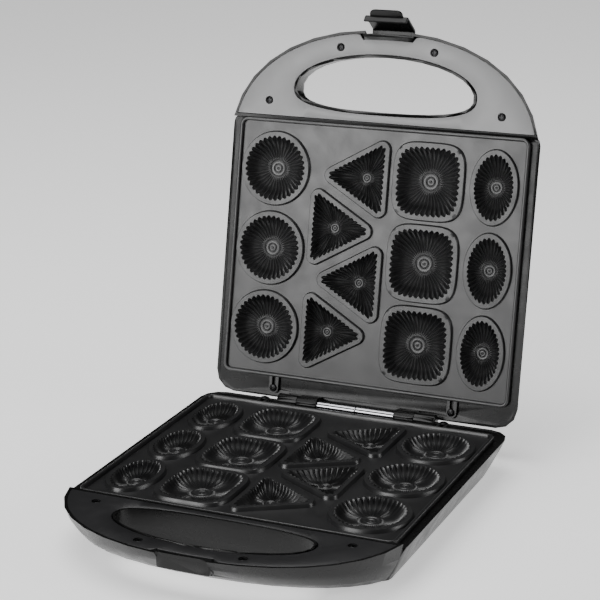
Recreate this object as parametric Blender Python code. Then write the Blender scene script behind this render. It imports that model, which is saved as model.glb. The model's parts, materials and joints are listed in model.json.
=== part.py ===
"""Electric biscuit maker with a hinged lid: two moulded housings, each holding a die-cast plate of
thirteen flower moulds, a tubular heater and a reflector. The lid stands open on its stop.

Both halves are built in the same half frame: X across, Y along the depth with the hinge line at
Y = 0 and the handle towards -Y, Z up with the closing plane at Z = 0. The lid is that half turned
over about the depth axis and then swung about the hinge."""

import math

import bmesh
import bpy
from mathutils import Matrix, Vector

# Driving sizes, in metres and radians.
PLATE_WIDTH = 0.294
PLATE_LENGTH = 0.250
CLOSING_HEIGHT = 0.040  # table to closing plane
HINGE_SETBACK = 0.021  # plate's rear edge to hinge line
HINGE_DROP = 0.0063  # closing plane to hinge line
HINGE_Y = 0.1275  # hinge line behind the origin
OPEN_ANGLE = math.radians(102.9)
WALL = 0.0025
GAP = 0.0003  # face to face clearance of fitted pieces
OVERRUN = 0.002  # how far a cutter runs past the face that it cuts

# Housing.
FOOT_HEIGHT = 0.0030
SIDE_CHANNEL = 0.0061  # plate edge to the inside of the housing wall
REAR_LEDGE = 0.020  # plate's rear edge to the back of the housing
RIM_DROP = 0.005  # closing plane to the rim of the sides and back
DECK_STEP = 0.0004  # rim to the deck round the plate
DECK_GAP = 0.0004  # plate to deck
TUB_REAR_CORNER = 0.020
TUB_FRONT_CORNER = 0.0090
SIDE_TUCK = 0.0148  # how far the side walls lean in on their way down
REAR_TUCK = 0.016
FRONT_TUCK = 0.0028
TUB_DEPTH_SHARES = (0.0, 0.31, 0.53, 0.78, 1.0)
SIDE_TUCK_SHARES = (0.0, 0.30, 0.52, 0.77, 1.0)
END_TUCK_SHARES = (0.0, 0.0, 0.256, 0.61, 1.0)

# Handle.
HANDLE_REACH = 0.090  # plate's front edge to the top of the handle's curve
HANDLE_FLARE = 0.0005  # handle's half ellipse wider than the housing side
HANDLE_CENTRE_BACK = 0.0217  # ellipse centre behind the plate's front edge
HANDLE_POWER = 2.2  # fuller than an ellipse
HANDLE_DEPTH = 0.0355
HANDLE_TIP_SHARE = 0.61  # the handle's depth at its tip against that at the tub
HANDLE_TUCK = 0.022
HANDLE_DEPTH_SHARES = (0.0, 0.40, 0.62, 0.84, 1.0)
HANDLE_TUCK_SHARES = (0.0, 0.24, 0.47, 0.74, 1.0)
HANDLE_SIDE_SHARE = 0.68  # tuck at its sides against that at its tip
HANDLE_TOP_DROP = 0.0005
HANDLE_OVERLAP = 0.0005  # how far its solid runs past the tub's front wall
GRIP_HALF_WIDTH = 0.0895
GRIP_FRONT = 0.0325  # widest line of the finger opening to its front edge
GRIP_REAR = 0.0187
GRIP_CENTRE = 0.0320  # plate's front edge to that widest line
GRIP_COLLAR = 0.0024  # wall round the finger opening
GRIP_FRONT_POWER = 2.0
GRIP_REAR_POWER = 2.8
GRIP_SPREAD = 0.0080  # how much wider the opening is at the outer side
GRIP_SPREAD_SHARES = (0.0, 0.06, 0.31, 0.75, 1.0)
COVER_THICKNESS = 0.0025
COVER_GAP = 0.0004

# Screws in the handle covers.
COVER_SCREW_X = (0.0472, 0.1177)
COVER_SCREW_REACH = (0.0721, 0.0174)  # beyond the plate's front edge
SCREW_HEAD_RADIUS = 0.0036
SCREW_HEAD_HEIGHT = 0.0016
SCREW_SHANK_RADIUS = 0.0016
COVER_SCREW_LENGTH = 0.0085
SCREW_BOSS_RADIUS = 0.0045
HEAD_SIDES = 12
SHANK_SIDES = 6

# Plates.
LIP_WIDTH = 0.0030
LIP_HEIGHT = 0.0035
LIP_DRAFT = 0.0006
LAND_THICKNESS = 0.0030
PLATE_CORNER = 0.0080
PLATE_GAP = 0.0003  # plate lip below the closing plane
SKIRT_DROP = 0.0115  # closing plane to the skirt's lower edge
MOULD_RING = 0.0037
MOULD_DRAFT = 0.0011
MOULD_DEPTH = 0.0085
MOULD_WALL = 0.0030
MOULD_SIDES = 16
ROUND_RADIUS = 0.0353
OVAL_HALF_WIDTH = 0.0230
OVAL_HALF_LENGTH = 0.0348
SQUARE_HALF_WIDTH = 0.0352
SQUARE_HALF_LENGTH = 0.0363
SQUARE_POWER = 4.0
TRIANGLE_CORE = 0.0163  # inscribed radius before its corners are rounded
TRIANGLE_CORNER = 0.0078
ROW_SHARES = (-0.309, 0.0, 0.309)  # of the plate's length, from its middle
TRIANGLE_ROW_SHARES = (-0.3018, -0.1000, 0.1000, 0.3018)
ROUND_COLUMN_SHARE = 0.3622  # of the plate's width, from its middle
SQUARE_COLUMN_SHARE = -0.1731
OVAL_COLUMN_SHARE = -0.3932
TRIANGLE_COLUMN_SHARES = (0.0459, 0.1449)  # pointing to the rounds, pointing to the squares
BOWL_DEPTH_SHARES = (0.0, 0.60, 1.0)
BOWL_SIZE_SHARES = (1.0, 0.86, 0.40)
BOWL_UNDER_SHARE = 0.62  # the bowl's underside against its upper outline
BOSS_RADIUS = 0.0045
BOSS_DROP = 0.0150  # closing plane to the plate bosses' ends
POST_RADIUS = 0.0062
POST_NECK_RADIUS = 0.0048
POST_COLUMN_SHARES = (-0.304, 0.2585)
POST_ROW_SHARES = (-0.156, 0.1545)
POST_SIDES = 8
PLATE_SCREW_REACH = 0.0060  # shank into the plate boss
PLATE_SCREW_DROP = 0.0275  # closing plane to the screw head's seat
LUG_X = 0.0920
LUG_REACH = 0.0110  # plate's rear edge to the lug screw
LUG_RADIUS = 0.0052
LUG_THICKNESS = 0.0027
LUG_SCREW_LENGTH = 0.0075

# Heater, reflector and electrical parts, measured down from the closing plane.
HEATER_RADIUS = 0.0032
HEATER_PIN_RADIUS = 0.0014
HEATER_PIN_LENGTH = 0.0050
HEATER_HALF_SPAN = 0.0570
HEATER_OFFSET = -0.0050
HEATER_REAR = 0.0110  # plate's rear edge to the heater's ends
HEATER_FRONT = 0.0300  # plate's front edge to the heater's cross run
HEATER_BEND = 0.0240
HEATER_STEPS = 6
PAD_HALF_WIDTH = 0.0110
PAD_HALF_LENGTH = 0.0060
CLIP_THICKNESS = 0.0010
CLIP_HALF_LENGTH = 0.0050
CLIP_Y_SHARE = 0.10
REFLECTOR_DROP = 0.0233
REFLECTOR_THICKNESS = 0.0008
REFLECTOR_SIDE_MARGIN = 0.0240  # inside the plate's outline
REFLECTOR_FRONT_MARGIN = 0.0140
REFLECTOR_REAR_MARGIN = 0.0190
REFLECTOR_FLANGE = 0.0045
THERMOSTAT_RADIUS = 0.0080
THERMOSTAT_HEIGHT = 0.0085
THERMOSTAT_X = 0.0080
THERMOSTAT_AHEAD = 0.0140  # of the plate's rear edge
FUSE_RADIUS = 0.0022
FUSE_LENGTH = 0.0120
TERMINAL_LENGTH = 0.0320
TERMINAL_WIDTH = 0.0140
TERMINAL_HEIGHT = 0.0080
TERMINAL_AHEAD = 0.0180
LAMP_RADIUS = 0.0037
LAMP_FLANGE = 0.0052
LAMP_FLANGE_THICKNESS = 0.0012
LAMP_PROUD = 0.0014
LAMP_SPACING = 0.0240
LAMP_FROM_FRONT = 0.0300  # behind the plate's front edge
GLAND_RADIUS = 0.0055
GLAND_FLANGE = 0.0075
GLAND_FLANGE_THICKNESS = 0.0025
GLAND_BORE = 0.0034
GLAND_X = -0.0220
GLAND_DROP = 0.0258
GLAND_BOSS_RADIUS = 0.0085
GLAND_BOSS_LENGTH = 0.0120

# Feet.
FOOT_RADIUS = 0.0090
FOOT_PEG_RADIUS = 0.0030
FOOT_PEG_LENGTH = 0.0050
FOOT_X = 0.0960
FRONT_FOOT_BACK = 0.0260  # behind the plate's front edge
REAR_FOOT_AHEAD = 0.0130  # ahead of the plate's rear edge

# Hinge, from the middle outwards.
SLEEVE_HALF_GAP = 0.0003
SLEEVE_END = 0.0395
SLEEVE_RADIUS = 0.0048
KNUCKLE_GAP = 0.0005
LID_KNUCKLE_WIDTH = 0.0200
BASE_KNUCKLE_WIDTH = 0.0200
KNUCKLE_RADIUS = 0.0072
KNUCKLE_CLEARANCE = 0.0012
KNUCKLE_SIDES = 16
PIN_RADIUS = 0.0030
PIN_END_WALL = 0.0030
ARM_BACK = 0.0013  # hinge line to the back of the lid's arms
ARM_THICKNESS = 0.0058
TROUGH_DEPTH = 0.0175  # closing plane to the underside of the hinge trough
TROUGH_REACH = 0.0115

# Latch.
LATCH_HALF_WIDTH = 0.0215
LATCH_TAB_HALF_WIDTH = 0.0165
LATCH_THICKNESS = 0.0022
LATCH_KNUCKLE = 0.0028
LATCH_PIN_RADIUS = 0.0012
LATCH_PIN_LENGTH = 0.0488
LATCH_NOTCH_HALF_WIDTH = 0.0232
LATCH_NOTCH_DEPTH = 0.0030
LATCH_NOTCH_WALL = 0.0022
LATCH_PIVOT_BACK = 0.0125  # pivot behind the top of the handle's curve
LATCH_PIVOT_DROP = 0.0115
LATCH_POCKET = 0.0036  # clearance radius round the pivot
LATCH_SLOT_SHARE = 0.85  # slot's half height against that radius
LATCH_SHOULDER_BACK = 0.0055
LATCH_SHOULDER_DROP = 0.0115
LATCH_RUN_BACK = -0.0022  # the straight run that crosses the closing plane, ahead of the tip
LATCH_RUN_DROP = 0.0085
LATCH_HOOK_TIP_BACK = 0.0068
LATCH_TAB_OUT = 0.0040
LATCH_TAB_RISE = 0.0055
LATCH_CATCH_DROP = 0.0140  # closing plane to the edge that the hook catches
LATCH_CATCH_ROOM = 0.0100  # how far the room under that edge reaches back
HOOK_GAP = 0.0012
LATCH_OPEN = math.radians(25.0)

# Places that follow from those sizes, in the half frame.
PLATE_REAR = -HINGE_SETBACK
PLATE_FRONT = -(HINGE_SETBACK + PLATE_LENGTH)
PLATE_MIDDLE = (PLATE_REAR + PLATE_FRONT) / 2
PLATE_HALF = PLATE_WIDTH / 2
TUB_HALF = PLATE_HALF + SIDE_CHANNEL + WALL
TUB_REAR = PLATE_REAR + REAR_LEDGE
TUB_FRONT = PLATE_FRONT - GAP - WALL
TUB_DEPTH = CLOSING_HEIGHT - FOOT_HEIGHT
HANDLE_CENTRE = PLATE_FRONT + HANDLE_CENTRE_BACK
HANDLE_A = TUB_HALF + HANDLE_FLARE
HANDLE_B = HANDLE_REACH + HANDLE_CENTRE_BACK
HANDLE_TIP = PLATE_FRONT - HANDLE_REACH
GRIP_Y = PLATE_FRONT - GRIP_CENTRE
COVER_UNDER = -(HANDLE_TOP_DROP + COVER_THICKNESS + GAP)
LAND_TOP = -(PLATE_GAP + LIP_HEIGHT)
LAND_UNDER = LAND_TOP - LAND_THICKNESS
MOULD_UNDER = -(PLATE_GAP + MOULD_DEPTH + MOULD_WALL)
HEATER_Z = MOULD_UNDER - GAP - HEATER_RADIUS
FLOOR_TOP = -(TUB_DEPTH - WALL)
KNUCKLE_START = SLEEVE_END + KNUCKLE_GAP
KNUCKLE_MIDDLE = KNUCKLE_START + LID_KNUCKLE_WIDTH + KNUCKLE_GAP
KNUCKLE_END = KNUCKLE_MIDDLE + BASE_KNUCKLE_WIDTH
CURVE_STEPS = 15


def named_collection(name):
    made = bpy.data.collections.new(name)
    bpy.context.scene.collection.children.link(made)
    return made


def new_material(name, colour, roughness, metallic=0.0):
    made = bpy.data.materials.new(name)
    made.use_nodes = True
    shader = made.node_tree.nodes["Principled BSDF"]
    shader.inputs["Base Color"].default_value = (*colour, 1.0)
    shader.inputs["Roughness"].default_value = roughness
    shader.inputs["Metallic"].default_value = metallic
    return made


class Workshop:
    """Where new pieces go: their collection, their parent frame and the materials."""

    def __init__(self):
        self.parts = named_collection("biscuit_maker")
        self.cutters = named_collection("cutters")
        self.materials = {
            "housing": new_material("housing", (0.022, 0.022, 0.024), 0.42),
            "handle": new_material("handle", (0.050, 0.050, 0.053), 0.46),
            "coating": new_material("coating", (0.060, 0.060, 0.062), 0.40),
            "chrome": new_material("chrome", (0.75, 0.76, 0.78), 0.14, 1.0),
            "steel": new_material("steel", (0.42, 0.42, 0.43), 0.35, 1.0),
            "blackened": new_material("blackened", (0.05, 0.05, 0.05), 0.38, 0.8),
            "sheathing": new_material("sheathing", (0.30, 0.28, 0.27), 0.50, 0.9),
            "aluminium": new_material("aluminium", (0.70, 0.71, 0.72), 0.30, 1.0),
            "rubber": new_material("rubber", (0.015, 0.015, 0.015), 0.85),
            "ceramic": new_material("ceramic", (0.80, 0.78, 0.72), 0.50),
            "insulation": new_material("insulation", (0.72, 0.70, 0.66), 0.70),
            "red_lens": new_material("red_lens", (0.60, 0.03, 0.02), 0.12),
            "green_lens": new_material("green_lens", (0.03, 0.42, 0.08), 0.12),
        }
        self.frame = None

    def add(self, name, mesh, material=None, frame=None):
        obj = bpy.data.objects.new(name, mesh)
        self.parts.objects.link(obj)
        obj.parent = frame or self.frame
        if material:
            mesh.materials.append(self.materials[material])
        return obj

    def as_cutter(self, obj):
        """Moves a helper shape out of the model."""
        self.parts.objects.unlink(obj)
        self.cutters.objects.link(obj)
        obj.hide_render = True
        obj.display_type = "WIRE"
        return obj


SHOP = None


def mesh_from(bm, name):
    bmesh.ops.recalc_face_normals(bm, faces=bm.faces)
    mesh = bpy.data.meshes.new(name)
    bm.to_mesh(mesh)
    bm.free()
    return mesh


def loft(name, sections, material=None, bend=None):
    """A closed solid through level outlines of equal point count: sections are (z, points).

    A bend changes each point's height by its place, for outlines that mirror in X.
    """
    bm = bmesh.new()
    rings = [[bm.verts.new((x, y, z)) for x, y in points] for z, points in sections]
    for low, high in zip(rings, rings[1:]):
        for i in range(len(low)):
            j = (i + 1) % len(low)
            bm.faces.new((low[i], low[j], high[j], high[i]))
    bm.faces.new(rings[-1])
    if bend:
        last = len(rings[0]) - 1
        for i in range(last // 2):
            bm.faces.new([rings[0][k] for k in (i, i + 1, last - i - 1, last - i)])
        for ring in rings:
            for vertex in ring:
                vertex.co.z = bend(vertex.co.y, vertex.co.z)
        bmesh.ops.triangulate(bm, faces=bm.faces)
    else:
        bm.faces.new(rings[0])
    return SHOP.add(name, mesh_from(bm, name), material)


def slab(name, points, low, high, material=None):
    """A flat outline given thickness."""
    return loft(name, [(low, points), (high, points)], material)


def block(name, low, high, material=None):
    """A box between two corners."""
    bm = bmesh.new()
    size = [b - a for a, b in zip(low, high)]
    middle = [(a + b) / 2 for a, b in zip(low, high)]
    matrix = Matrix.Translation(middle) @ Matrix.Diagonal((*size, 1.0))
    bmesh.ops.create_cube(bm, size=1.0, matrix=matrix)
    return SHOP.add(name, mesh_from(bm, name), material)


def rod(name, start, end, radius, sides, material=None, tip_radius=None):
    """A cylinder, or a cone, between two points."""
    start = Vector(start)
    axis = Vector(end) - start
    turn = axis.to_track_quat("Z", "Y").to_matrix().to_4x4()
    bm = bmesh.new()
    bmesh.ops.create_cone(
        bm,
        cap_ends=True,
        segments=sides,
        radius1=radius,
        radius2=radius if tip_radius is None else tip_radius,
        depth=axis.length,
        matrix=Matrix.Translation(start + axis / 2) @ turn,
    )
    return SHOP.add(name, mesh_from(bm, name), material)


def tube_along(name, points, radius, material, resolution=2):
    """A round wire through the points."""
    curve = bpy.data.curves.new(name, "CURVE")
    curve.dimensions = "3D"
    curve.bevel_depth = radius
    curve.bevel_resolution = resolution
    curve.use_fill_caps = True
    spline = curve.splines.new("POLY")
    spline.points.add(len(points) - 1)
    for target, place in zip(spline.points, points):
        target.co = (*place, 1.0)
    curve.materials.append(SHOP.materials[material])
    obj = bpy.data.objects.new(name, curve)
    SHOP.parts.objects.link(obj)
    obj.parent = SHOP.frame
    return obj


def boolean(obj, other, operation):
    modifier = obj.modifiers.new(operation.lower() + "_" + other.name, "BOOLEAN")
    modifier.operation = operation
    modifier.solver = "EXACT"
    modifier.object = SHOP.as_cutter(other)
    return obj


def cut(obj, *others):
    for other in others:
        boolean(obj, other, "DIFFERENCE")
    return obj


def join(obj, *others):
    for other in others:
        boolean(obj, other, "UNION")
    return obj


def gather(name, pieces):
    """Separate shapes put into one mesh, to serve as one cutter."""
    bm = bmesh.new()
    for piece in pieces:
        bm.from_mesh(piece.data)
        bpy.data.objects.remove(piece)
    return SHOP.add(name, mesh_from(bm, name))


def smooth(obj, angle=math.radians(35)):
    obj.data.shade_smooth()
    obj.data.set_sharp_from_angle(angle=angle)
    return obj


def rounded_rectangle(half_width, rear, front, rear_corner, front_corner, steps=3):
    """Outline with quarter-circle corners, anticlockwise from the right rear."""
    points = []
    for side, edge, corner, start in (
        (1, rear, rear_corner, 0),
        (-1, rear, rear_corner, 90),
        (-1, front, front_corner, 180),
        (1, front, front_corner, 270),
    ):
        cx = side * (half_width - corner)
        cy = edge - corner if edge == rear else edge + corner
        for i in range(steps + 1):
            angle = math.radians(start + 90 * i / steps)
            points.append((cx + corner * math.cos(angle), cy + corner * math.sin(angle)))
    return points


def superellipse(half_width, half_length, power, sides):
    points = []
    for i in range(sides):
        angle = 2 * math.pi * i / sides
        c = math.cos(angle)
        s = math.sin(angle)
        points.append(
            (
                math.copysign(abs(c) ** (2 / power), c) * half_width,
                math.copysign(abs(s) ** (2 / power), s) * half_length,
            )
        )
    return points


def tub_outline(side_share, end_share, inset):
    """Level section of the housing's tub; inset moves its wall inwards."""
    return rounded_rectangle(
        TUB_HALF - SIDE_TUCK * side_share - inset,
        TUB_REAR - REAR_TUCK * end_share - inset,
        TUB_FRONT + FRONT_TUCK * end_share + inset,
        TUB_REAR_CORNER - inset,
        TUB_FRONT_CORNER - inset / 2,
    )


def tub_solid(name, inset):
    sections = []
    for depth_share, side_share, end_share in zip(TUB_DEPTH_SHARES, SIDE_TUCK_SHARES, END_TUCK_SHARES):
        z = -(RIM_DROP + (TUB_DEPTH - inset - RIM_DROP) * depth_share)
        sections.append((z, tub_outline(side_share, end_share, inset)))
    if inset:
        sections.insert(0, (OVERRUN, sections[0][1]))
    return loft(name, sections[::-1])


def handle_outline(inset, rear, tuck=0.0):
    """Half ellipse closed by a straight rear edge."""
    a = HANDLE_A - inset - tuck * HANDLE_SIDE_SHARE
    b = HANDLE_B - inset - tuck
    low = math.asin(((HANDLE_CENTRE - rear) / b) ** (HANDLE_POWER / 2))
    points = []
    for i in range(CURVE_STEPS + 1):
        angle = low + (math.pi - 2 * low) * i / CURVE_STEPS
        c = math.cos(angle)
        x = -math.copysign(abs(c) ** (2 / HANDLE_POWER), c) * a
        points.append((x, HANDLE_CENTRE - math.sin(angle) ** (2 / HANDLE_POWER) * b))
    return points


def handle_bend(y, z):
    """The handle is shallower at its tip; what lies above the cover's underside stays level."""
    if z >= COVER_UNDER:
        return z
    along = (y - HANDLE_TIP) / (PLATE_FRONT - HANDLE_TIP)
    return z * (HANDLE_TIP_SHARE + (1 - HANDLE_TIP_SHARE) * min(1.0, max(0.0, along)))


def handle_solid(name, inset, rear, top, floor_rise=0.0):
    """The handle's rounded body: its outline draws in towards the bottom."""
    sections = [(top, handle_outline(inset, rear))]
    if inset:
        sections.append((COVER_UNDER, sections[0][1]))
    for depth_share, tuck_share in zip(HANDLE_DEPTH_SHARES[1:], HANDLE_TUCK_SHARES[1:]):
        z = -(HANDLE_TOP_DROP + (HANDLE_DEPTH - floor_rise - HANDLE_TOP_DROP) * depth_share)
        sections.append((z, handle_outline(inset, rear, HANDLE_TUCK * tuck_share)))
    if inset and not floor_rise:
        sections.append((sections[-1][0] - 2 * OVERRUN, sections[-1][1]))
    return loft(name, sections[::-1], None, handle_bend)


def grip_outline(grow):
    """The finger opening: a half ellipse in front, a flatter curve behind."""
    points = []
    sides = 2 * CURVE_STEPS
    for i in range(sides):
        angle = 2 * math.pi * (i + 0.5) / sides
        c = math.cos(angle)
        s = math.sin(angle)
        power = GRIP_FRONT_POWER if s < 0 else GRIP_REAR_POWER
        reach = GRIP_FRONT if s < 0 else GRIP_REAR
        points.append(
            (
                math.copysign(abs(c) ** (2 / power), c) * (GRIP_HALF_WIDTH + grow),
                GRIP_Y + math.copysign(abs(s) ** (2 / power), s) * (reach + grow),
            )
        )
    return points


def grip_solid(name, grow, top):
    """The finger opening as a solid, spreading towards the outer side."""
    sections = [(top, grip_outline(grow))]
    for depth_share, spread_share in zip(HANDLE_DEPTH_SHARES, GRIP_SPREAD_SHARES):
        z = -(HANDLE_TOP_DROP + (HANDLE_DEPTH - HANDLE_TOP_DROP) * depth_share)
        sections.append((z, grip_outline(grow + GRIP_SPREAD * spread_share)))
    sections.append((-(HANDLE_DEPTH + OVERRUN), sections[-1][1]))
    return loft(name, sections[::-1])


def notch_block(name, half_width, depth, top=OVERRUN):
    """The space in front of the handle's curve moved back by depth, between two sides."""
    zone = block(
        name,
        (-half_width, HANDLE_TIP - OVERRUN, -(HANDLE_DEPTH + OVERRUN)),
        (half_width, HANDLE_TIP + LATCH_PIVOT_BACK + LATCH_NOTCH_WALL, top),
    )
    return cut(zone, handle_solid(name + "_body", depth, PLATE_FRONT, top + OVERRUN))


def cover_screw_places():
    places = []
    for x, reach in zip(COVER_SCREW_X, COVER_SCREW_REACH):
        places += [(-x, PLATE_FRONT - reach), (x, PLATE_FRONT - reach)]
    return sorted(places)


def post_places():
    return [
        (PLATE_WIDTH * column, PLATE_MIDDLE + PLATE_LENGTH * row)
        for column in POST_COLUMN_SHARES
        for row in POST_ROW_SHARES
    ]


def lug_places():
    return [(-LUG_X, PLATE_REAR + LUG_REACH), (LUG_X, PLATE_REAR + LUG_REACH)]


def uprights(name, places, low, high, radius, sides):
    """Equal upright cylinders in one mesh."""
    rods = [rod(f"{name}_{i}", (x, y, low), (x, y, high), radius, sides) for i, (x, y) in enumerate(places)]
    return gather(name, rods)


def sideways(name, spans, y, z, radius, sides):
    """Cylinders along X in one mesh."""
    rods = [rod(f"{name}_{i}", (a, y, z), (b, y, z), radius, sides) for i, (a, b) in enumerate(spans)]
    return gather(name, rods)


def mirrored(start, end):
    return ((-end, -start), (start, end))


def build_shell(name):
    """One housing: a tub with a rear deck, and a hollow handle, open at the closing plane."""
    shell = tub_solid(name, 0.0)
    shell.data.materials.append(SHOP.materials["housing"])
    handle_rear = TUB_FRONT + WALL + HANDLE_OVERLAP
    join(shell, handle_solid(name + "_handle", 0.0, handle_rear, -HANDLE_TOP_DROP))
    cut(shell, tub_solid(name + "_inside", WALL))
    hollow = handle_solid(name + "_hollow", WALL, TUB_FRONT, OVERRUN, WALL)
    cut(hollow, grip_solid(name + "_collar", GRIP_COLLAR, 2 * OVERRUN))
    wall_half = LATCH_NOTCH_HALF_WIDTH + LATCH_NOTCH_WALL
    cut(
        hollow,
        block(
            name + "_latch_body",
            (-wall_half + GAP, HANDLE_TIP - OVERRUN, -(HANDLE_DEPTH + OVERRUN)),
            (wall_half - GAP, GRIP_Y - GRIP_FRONT, COVER_UNDER),
        ),
    )
    cut(hollow, notch_block(name + "_notch_wall", wall_half, LATCH_NOTCH_DEPTH + LATCH_NOTCH_WALL, 2 * OVERRUN))
    cut(shell, hollow)
    bosses = uprights(
        name + "_bosses",
        cover_screw_places(),
        -(HANDLE_DEPTH - WALL / 2),
        COVER_UNDER,
        SCREW_BOSS_RADIUS,
        POST_SIDES,
    )
    limit = handle_solid(name + "_boss_limit", WALL / 2, TUB_FRONT, OVERRUN, WALL / 2)
    boolean(bosses, limit, "INTERSECT")
    join(shell, bosses)
    deck = slab(
        name + "_deck",
        rounded_rectangle(
            TUB_HALF - WALL / 2,
            TUB_REAR - WALL / 2,
            TUB_FRONT + WALL / 2,
            TUB_REAR_CORNER - WALL / 2,
            TUB_FRONT_CORNER - WALL / 2,
        ),
        -(RIM_DROP + WALL),
        -(RIM_DROP + DECK_STEP),
    )
    cut(deck, slab(name + "_plate_room", plate_outline(-DECK_GAP), -(RIM_DROP + 2 * WALL), OVERRUN))
    join(shell, deck)
    lugs = uprights(
        name + "_lug_bosses",
        lug_places(),
        -(RIM_DROP + LUG_SCREW_LENGTH + WALL),
        -(RIM_DROP + WALL / 2),
        SCREW_BOSS_RADIUS,
        POST_SIDES,
    )
    join(shell, lugs)
    join(
        shell,
        uprights(
            name + "_posts",
            post_places(),
            -(TUB_DEPTH - WALL / 2),
            -(REFLECTOR_DROP + REFLECTOR_THICKNESS + GAP),
            POST_RADIUS,
            POST_SIDES,
        ),
    )
    join(
        shell,
        uprights(
            name + "_necks",
            post_places(),
            -(PLATE_SCREW_DROP - GAP),
            -(BOSS_DROP + GAP),
            POST_NECK_RADIUS,
            POST_SIDES,
        ),
    )
    cut(shell, grip_solid(name + "_grip", 0.0, OVERRUN))
    cut(shell, notch_block(name + "_notch", LATCH_NOTCH_HALF_WIDTH, LATCH_NOTCH_DEPTH))
    hole = SCREW_SHANK_RADIUS + GAP
    cut(
        shell,
        uprights(
            name + "_cover_screw_holes",
            cover_screw_places(),
            -(COVER_SCREW_LENGTH + SCREW_HEAD_HEIGHT + HANDLE_TOP_DROP + GAP),
            OVERRUN,
            hole,
            SHANK_SIDES,
        ),
        uprights(
            name + "_lug_screw_holes",
            lug_places(),
            -(RIM_DROP + LUG_SCREW_LENGTH),
            OVERRUN,
            hole,
            SHANK_SIDES,
        ),
        uprights(
            name + "_plate_screw_holes",
            post_places(),
            -(TUB_DEPTH + OVERRUN),
            OVERRUN,
            hole,
            SHANK_SIDES,
        ),
        uprights(
            name + "_plate_screw_heads",
            post_places(),
            -(TUB_DEPTH + OVERRUN),
            -PLATE_SCREW_DROP,
            SCREW_HEAD_RADIUS + GAP,
            HEAD_SIDES,
        ),
    )
    return shell


def finish_base_shell(shell):
    """Hinge trough and knuckles, feet, cord gland and the keeper for the latch."""
    z = -HINGE_DROP
    trough = block(
        "trough",
        (-KNUCKLE_MIDDLE - WALL, TUB_REAR - TROUGH_REACH, -TROUGH_DEPTH),
        (KNUCKLE_MIDDLE + WALL, TUB_REAR - GAP, -(RIM_DROP + WALL / 2)),
    )
    join(shell, trough)
    ends = mirrored(KNUCKLE_MIDDLE, KNUCKLE_END)
    join(shell, sideways("base_knuckles", ends, 0.0, z, KNUCKLE_RADIUS, KNUCKLE_SIDES))
    reach = KNUCKLE_MIDDLE + GAP / 3
    clear = [(-reach, reach)]
    cut(shell, sideways("hinge_room", clear, 0.0, z, KNUCKLE_RADIUS + KNUCKLE_CLEARANCE, KNUCKLE_SIDES))
    bores = mirrored(KNUCKLE_START, KNUCKLE_END - PIN_END_WALL)
    cut(shell, sideways("base_pin_bores", bores, 0.0, z, PIN_RADIUS + GAP, POST_SIDES))
    gland_z = -GLAND_DROP
    boss = rod(
        "gland_boss",
        (GLAND_X, TUB_REAR - OVERRUN - GLAND_BOSS_LENGTH, gland_z),
        (GLAND_X, TUB_REAR - OVERRUN, gland_z),
        GLAND_BOSS_RADIUS,
        POST_SIDES,
    )
    join(shell, boss)
    bore = rod(
        "gland_hole",
        (GLAND_X, TUB_REAR - OVERRUN - GLAND_BOSS_LENGTH - REAR_TUCK, gland_z),
        (GLAND_X, TUB_REAR + OVERRUN, gland_z),
        GLAND_RADIUS + GAP,
        HEAD_SIDES,
    )
    cut(shell, bore)
    pegs = uprights(
        "foot_holes", foot_places(), -(TUB_DEPTH + OVERRUN), FLOOR_TOP + OVERRUN, FOOT_PEG_RADIUS + GAP, SHANK_SIDES
    )
    cut(shell, pegs)
    wide = LATCH_NOTCH_HALF_WIDTH + GAP
    keeper = block(
        "keeper",
        (-wide, HANDLE_TIP - OVERRUN, -(LATCH_CATCH_DROP + WALL)),
        (wide, HANDLE_TIP + LATCH_CATCH_ROOM + WALL, COVER_UNDER - GAP),
    )
    front = slab(
        "keeper_front",
        handle_outline(LATCH_NOTCH_DEPTH + GAP / 2, TUB_FRONT),
        -(LATCH_CATCH_DROP + 2 * WALL),
        OVERRUN,
    )
    join(shell, boolean(keeper, front, "INTERSECT"))
    room = block(
        "hook_room",
        (-wide - GAP, HANDLE_TIP - OVERRUN, -(HANDLE_DEPTH + OVERRUN)),
        (wide + GAP, HANDLE_TIP + LATCH_CATCH_ROOM, -LATCH_CATCH_DROP),
    )
    cut(shell, room)
    return shell


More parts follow.
